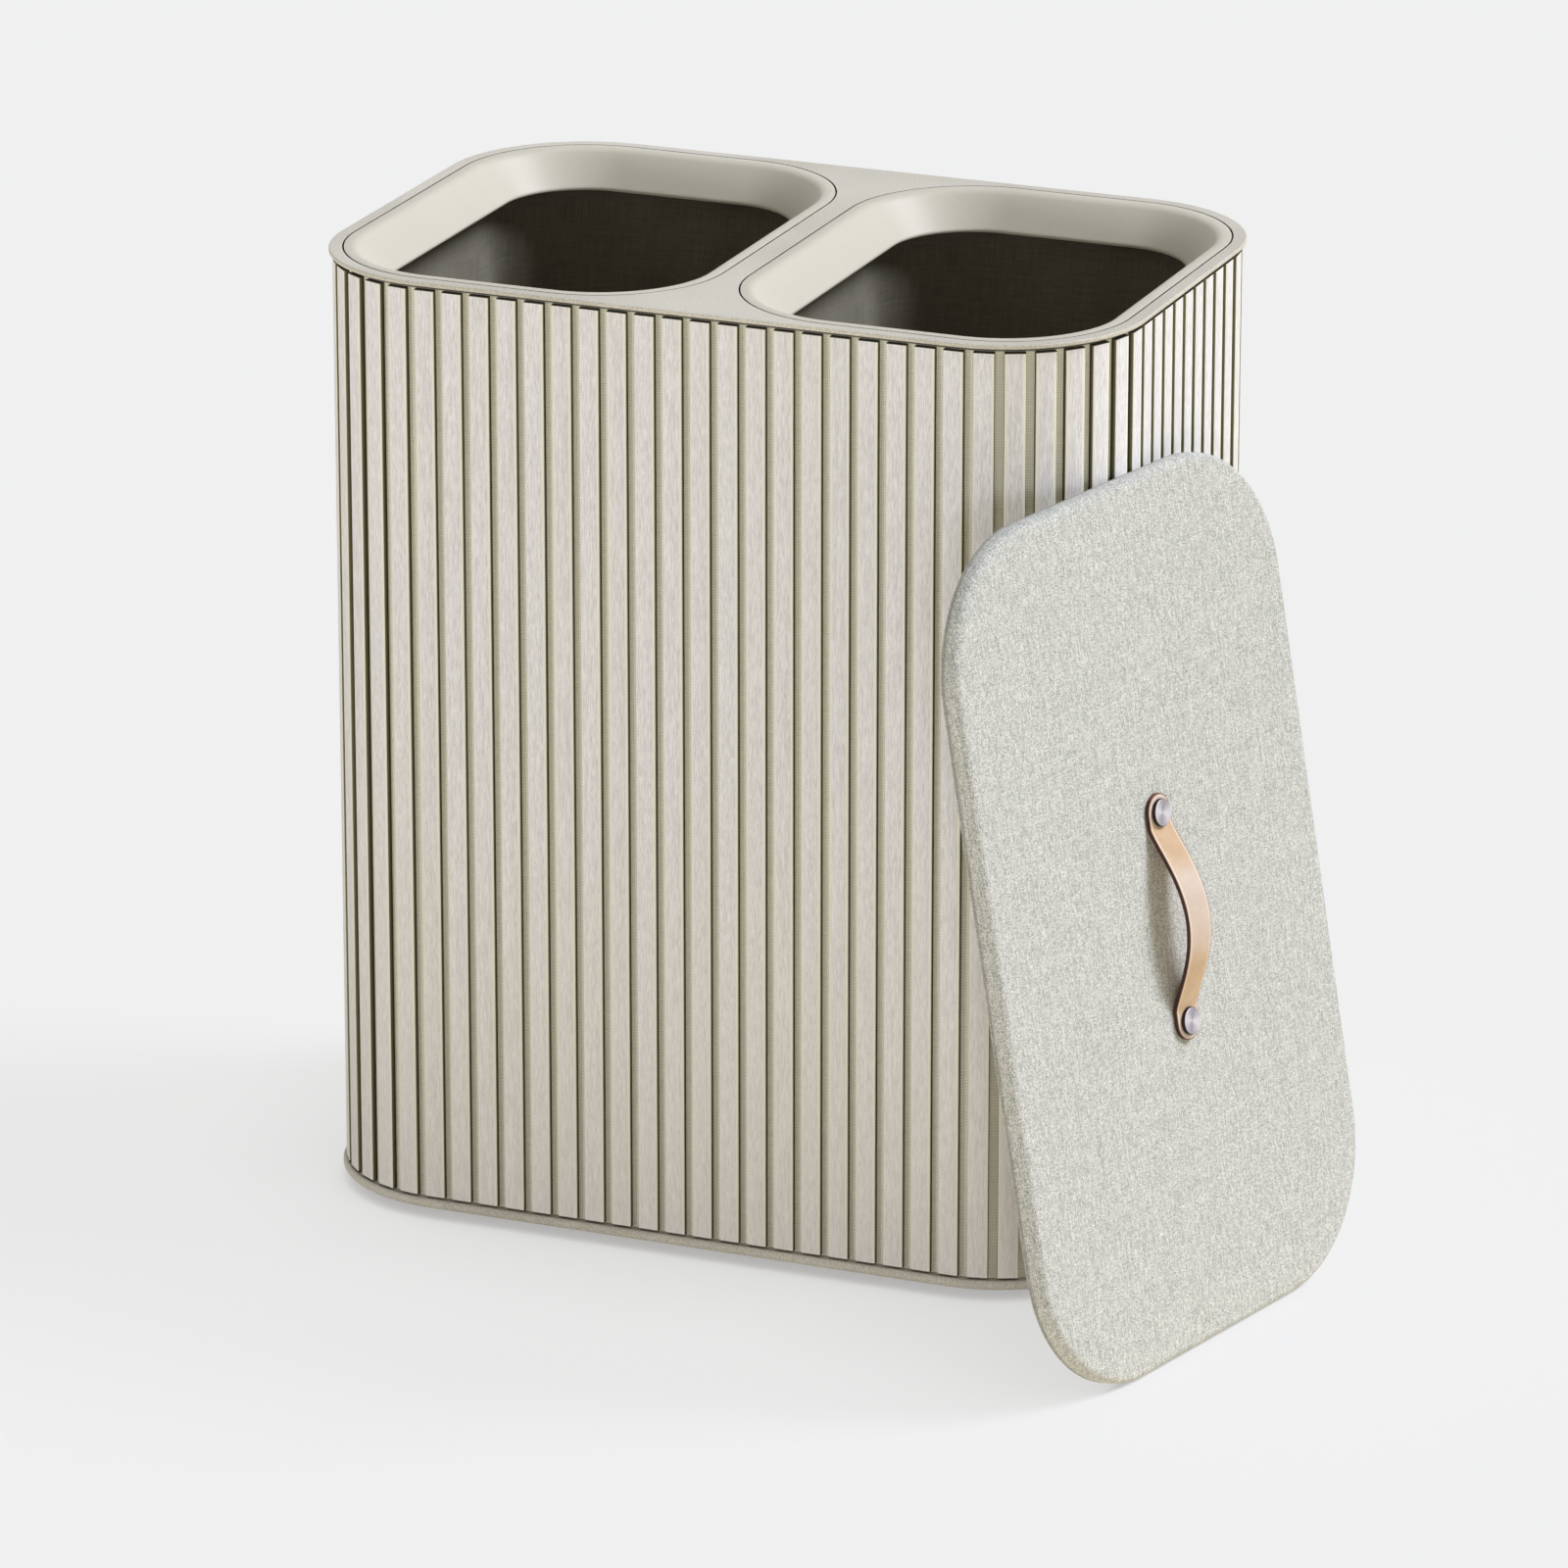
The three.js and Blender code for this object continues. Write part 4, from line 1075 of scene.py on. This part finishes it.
def tanned():
    """The strap's grain side: clouded tan with a painted highlight mid-bow, burnished paler at its ends, with
    a creased edge.
    """
    finish = Finish("strap_hide", Specular_IOR_Level=.45)
    on_strap = finish.mapped(on_lid(finish), location=-strap_middle)
    across, along, out = finish.split(on_strap)
    past_hole = finish.work("MAXIMUM", abs(along) - strap_hole, 0.0)
    inside = strap_half_width - (across ** 2 + past_hole ** 2) ** .5
    cloud = finish.noise(on_strap, 55, 4, .55)
    cells = finish.add("ShaderNodeTexVoronoi", {"feature": "DISTANCE_TO_EDGE"},
                       {"Vector": on_strap, "Scale": 1500})[0]
    pores = finish.noise(on_strap, 3200, 3, .6)
    wrinkles = finish.smooth(finish.noise(finish.mapped(on_strap, scale=(180, 900, 300)), 1, 3), .45, .75)
    # The middle of the bow carries a painted highlight, and the ends are burnished paler.
    highlight_and_end_polish = finish.work("MAXIMUM", finish.smooth(abs(along - .006), .040, .016) * .75,
                         finish.smooth(abs(along), .062, .070) * .7)
    crease = finish.smooth(inside, .0010, .0015) * finish.smooth(inside, .0029, .0020)
    colour = finish.blend(finish.smooth(cloud, .3, .7), (196, 162, 124), (210, 181, 145))
    colour = finish.blend(highlight_and_end_polish * (.6 + .5 * cloud), colour, (219, 205, 196))
    colour = finish.blend(crease * .6, colour, (244, 230, 210))
    colour = finish.blend(finish.smooth(inside, .0011, .0004), colour, (104, 56, 30))
    return finish.feed(Base_Color=finish.blend(wrinkles * .12, colour, (190, 140, 92)),
                       Roughness=.42 + .16 * cloud + .1 * crease,
                       Normal=finish.bump(finish.smooth(cells, 0, .2) * .4 + pores * .4 - crease * .8,
                                          .00012, .6))


def cut_side(name, clouds, dark, light, smoothest, rougher, relief, **fixed):
    """The strap's edge or back: clouds of two colours, rougher and higher where they are light."""
    finish = Finish(name, **fixed)
    cloud = finish.noise(finish.place(), *clouds)
    return finish.feed(Base_Color=finish.blend(cloud, dark, light), Roughness=smoothest + rougher * cloud,
                       Normal=finish.bump(cloud, relief))


strap_edge = cut_side("strap_edge", (600, 3, .6), (36, 17, 10), (80, 42, 23), .35, .2, .0001,
                      Specular_IOR_Level=.4)
strap_flesh = cut_side("strap_flesh", (1400, 4, .7), (178, 138, 98), (214, 178, 136), .85, .1, .0003,
                       Specular_IOR_Level=.15, Sheen_Weight=.2)
strap_band = piece("leather_strap", [skin(leaned([strap_section(y) for y in stations]))],
                   [tanned(), strap_edge, strap_flesh], "lid", ["strap"], crease=60)
for face in strap_band.data.polygons:
    if len(face.vertices) > 4 or abs(face.normal.dot(lid_across)) > .55:
        face.material_index = 1
    elif face.normal.dot(lid_face) < -.2:
        face.material_index = 2


# Two brushed steel screws with broad, slightly dished heads clamp the strap's ends to the lid. Their
# faces are turned on a lathe, so fine rings catch the light; two bright patches of painted reflection
# cross them, and their sides carry painted shade.

head_radius = .0094
head_height = .0026
head_seat = strap_thickness + .0005
head_face = head_seat + head_height


def lathe_turned():
    """The heads' finish: two bright patches of painted reflection that cross the turned rings, and painted
    shade on the side.
    """
    finish = Finish("head_steel", Metallic=1)
    on_face = on_lid(finish)
    x, y, out = finish.split(on_face)
    across, along = x - strap_middle.x, y - strap_middle.y
    past_hole = abs(along) - strap_hole
    reach = (across ** 2 + past_hole ** 2) ** .5
    rings = finish.work("SINE", reach * (2 * math.pi / .00022))
    brushing = finish.noise(finish.joined(reach * 9000, 0, 0), 1, 2)
    cloud = finish.noise(on_face, 260, 3, .6)
    bearing = finish.work("ARCTAN2", past_hole * ((along > 0) * 2 - 1), across)
    # Two bright patches of painted reflection across the turned face.
    reflection_fans = finish.work("COSINE", bearing * 2 + cloud * 1.6) * .5 + .5
    colour = finish.blend(reflection_fans * .8 + brushing * .2, (168, 160, 168), (240, 236, 238))
    # The head's side is painted dark as shade.
    head_side_shade = finish.smooth(reach, head_radius - .0006, head_radius - .0002)
    return finish.feed(Base_Color=finish.blend(head_side_shade, colour, (58, 50, 50)),
                       Roughness=.26 + .14 * brushing + .2 * head_side_shade,
                       Normal=finish.bump(rings * .5 + brushing * .7, .00002, .6))


head_steel = lathe_turned()
bolt = [(.0025, -.011), (.0025, head_seat), (head_radius, head_seat), (head_radius, head_face - .0006),
        (head_radius - .0002, head_face - .0002), (head_radius - .0006, head_face),
        (head_radius - .0014, head_face - .0001), (.006, head_face - .00035),
        (.003, head_face - .0005), (.0003, head_face - .00055)]
for name, side in (("lower", -1), ("upper", 1)):
    centre = strap_middle + Vector((0, side * strap_hole, 0))
    rings = leaned([[centre + point for point in ring] for ring in turned(bolt, 0, 0, 56)])
    piece("strap_bolt_" + name, [skin(rings)], [head_steel], "lid", ["strap_screw_" + name],
          crease=30)


# The pale floor runs out to a pale background. A broad soft window lights the object from above, the
# right and a little behind, two low reflectors stand in front, and the sky is dim, most so overhead.

def lamp(name, power, angle, towards, colour):
    light = bpy.data.lights.new(name, "SUN")
    light.energy, light.angle, light.color = power, math.radians(angle), colour
    placed(name, light).rotation_euler = Vector(towards).to_track_quat("-Z", "Y").to_euler()


lamp("window", 3.0, 24, (-.63, -.31, -.712), (.95, .99, 1.11))
lamp("reflector_left", .86, 6, (.64, .768, -.026), (.97, 1, 1.1))
lamp("reflector_right", .54, 14, (-.42, .907, -.02), (.97, 1, 1.1))


def looked_at(sheet):
    """1 for a ray that shows the surroundings, in the camera or in gloss or glass, and 0 for other light."""
    rays = sheet.add("ShaderNodeLightPath")
    seen = sheet.work("MAXIMUM", rays["Is Camera Ray"], rays["Is Glossy Ray"])
    return sheet.work("MAXIMUM", seen, rays["Is Transmission Ray"])


# The floor gives part of the pale background itself, and less of it close to the object, so that the
# shadow stays. The light that it throws back on the object is warmer than it looks.
background = (242, 242, 242)
floor_paint = Finish("floor_paint", Specular_IOR_Level=0, Roughness=1)
floor_seen = looked_at(floor_paint)
floor_near = floor_paint.add("ShaderNodeAmbientOcclusion", {"samples": 8}, {"Distance": .035})["AO"]
floor_open = floor_paint.add("ShaderNodeAmbientOcclusion", {"samples": 8}, {"Distance": .25})["AO"]
floor_share = (floor_paint.smooth(floor_near, 0, .7) * .27 + floor_paint.smooth(floor_open, .35, .9) * .18
               + .43)
floor_cloud = floor_paint.noise(floor_paint.place(), 1.3, 2)
floor_colour = floor_paint.blend(floor_cloud, (238, 238, 238), (240, 240, 240))
floor_paint.feed(Base_Color=floor_paint.blend(floor_seen, (251, 238, 205), floor_colour))
floor_glow = floor_paint.add("ShaderNodeEmission", None, {"Color": paint(*background)})[0]
floor_mixed = floor_paint.add("ShaderNodeMixShader", None,
                              {0: floor_seen * floor_share,
                               1: Number(floor_paint, floor_paint.shader.outputs[0]), 2: floor_glow})[0]
floor_paint.tree.links.new(floor_mixed.socket, floor_paint.tree.nodes["Material Output"].inputs["Surface"])
floor_mesh = bpy.data.meshes.new("floor")
floor_mesh.from_pydata([(-30, -30, 0), (30, -30, 0), (30, 30, 0), (-30, 30, 0)], [], [(0, 1, 2, 3)])
floor_mesh.materials.append(floor_paint.material)
placed("floor", floor_mesh)

world = bpy.data.worlds.new("sky")
world.use_nodes = True
bpy.context.scene.world = world
sky = Sheet(world.node_tree)
sky_height = sky.work("MAXIMUM", sky.split(sky.add("ShaderNodeTexCoord")["Generated"])[2], 0.0)
dome = sky.add("ShaderNodeMix", {"data_type": "RGBA"},
               {0: sky_height ** .5, 6: (.54, .525, .485, 1), 7: (.11, .106, .094, 1)})[2]
sky_light = sky.blend(looked_at(sky), dome, background)
sky.tree.links.new(sky_light.socket, sky.tree.nodes["Background"].inputs["Color"])

camera = bpy.data.cameras.new("camera")
camera.sensor_width, camera.lens = 36, 214.18
camera_item = placed("camera", camera)
camera_item.location = (2.243041, -5.585865, 2.387255)
camera_item.rotation_euler = (math.radians(71.040), 0, math.radians(22.170))
bpy.context.scene.camera = camera_item
bpy.context.scene.view_settings.view_transform = "Standard"
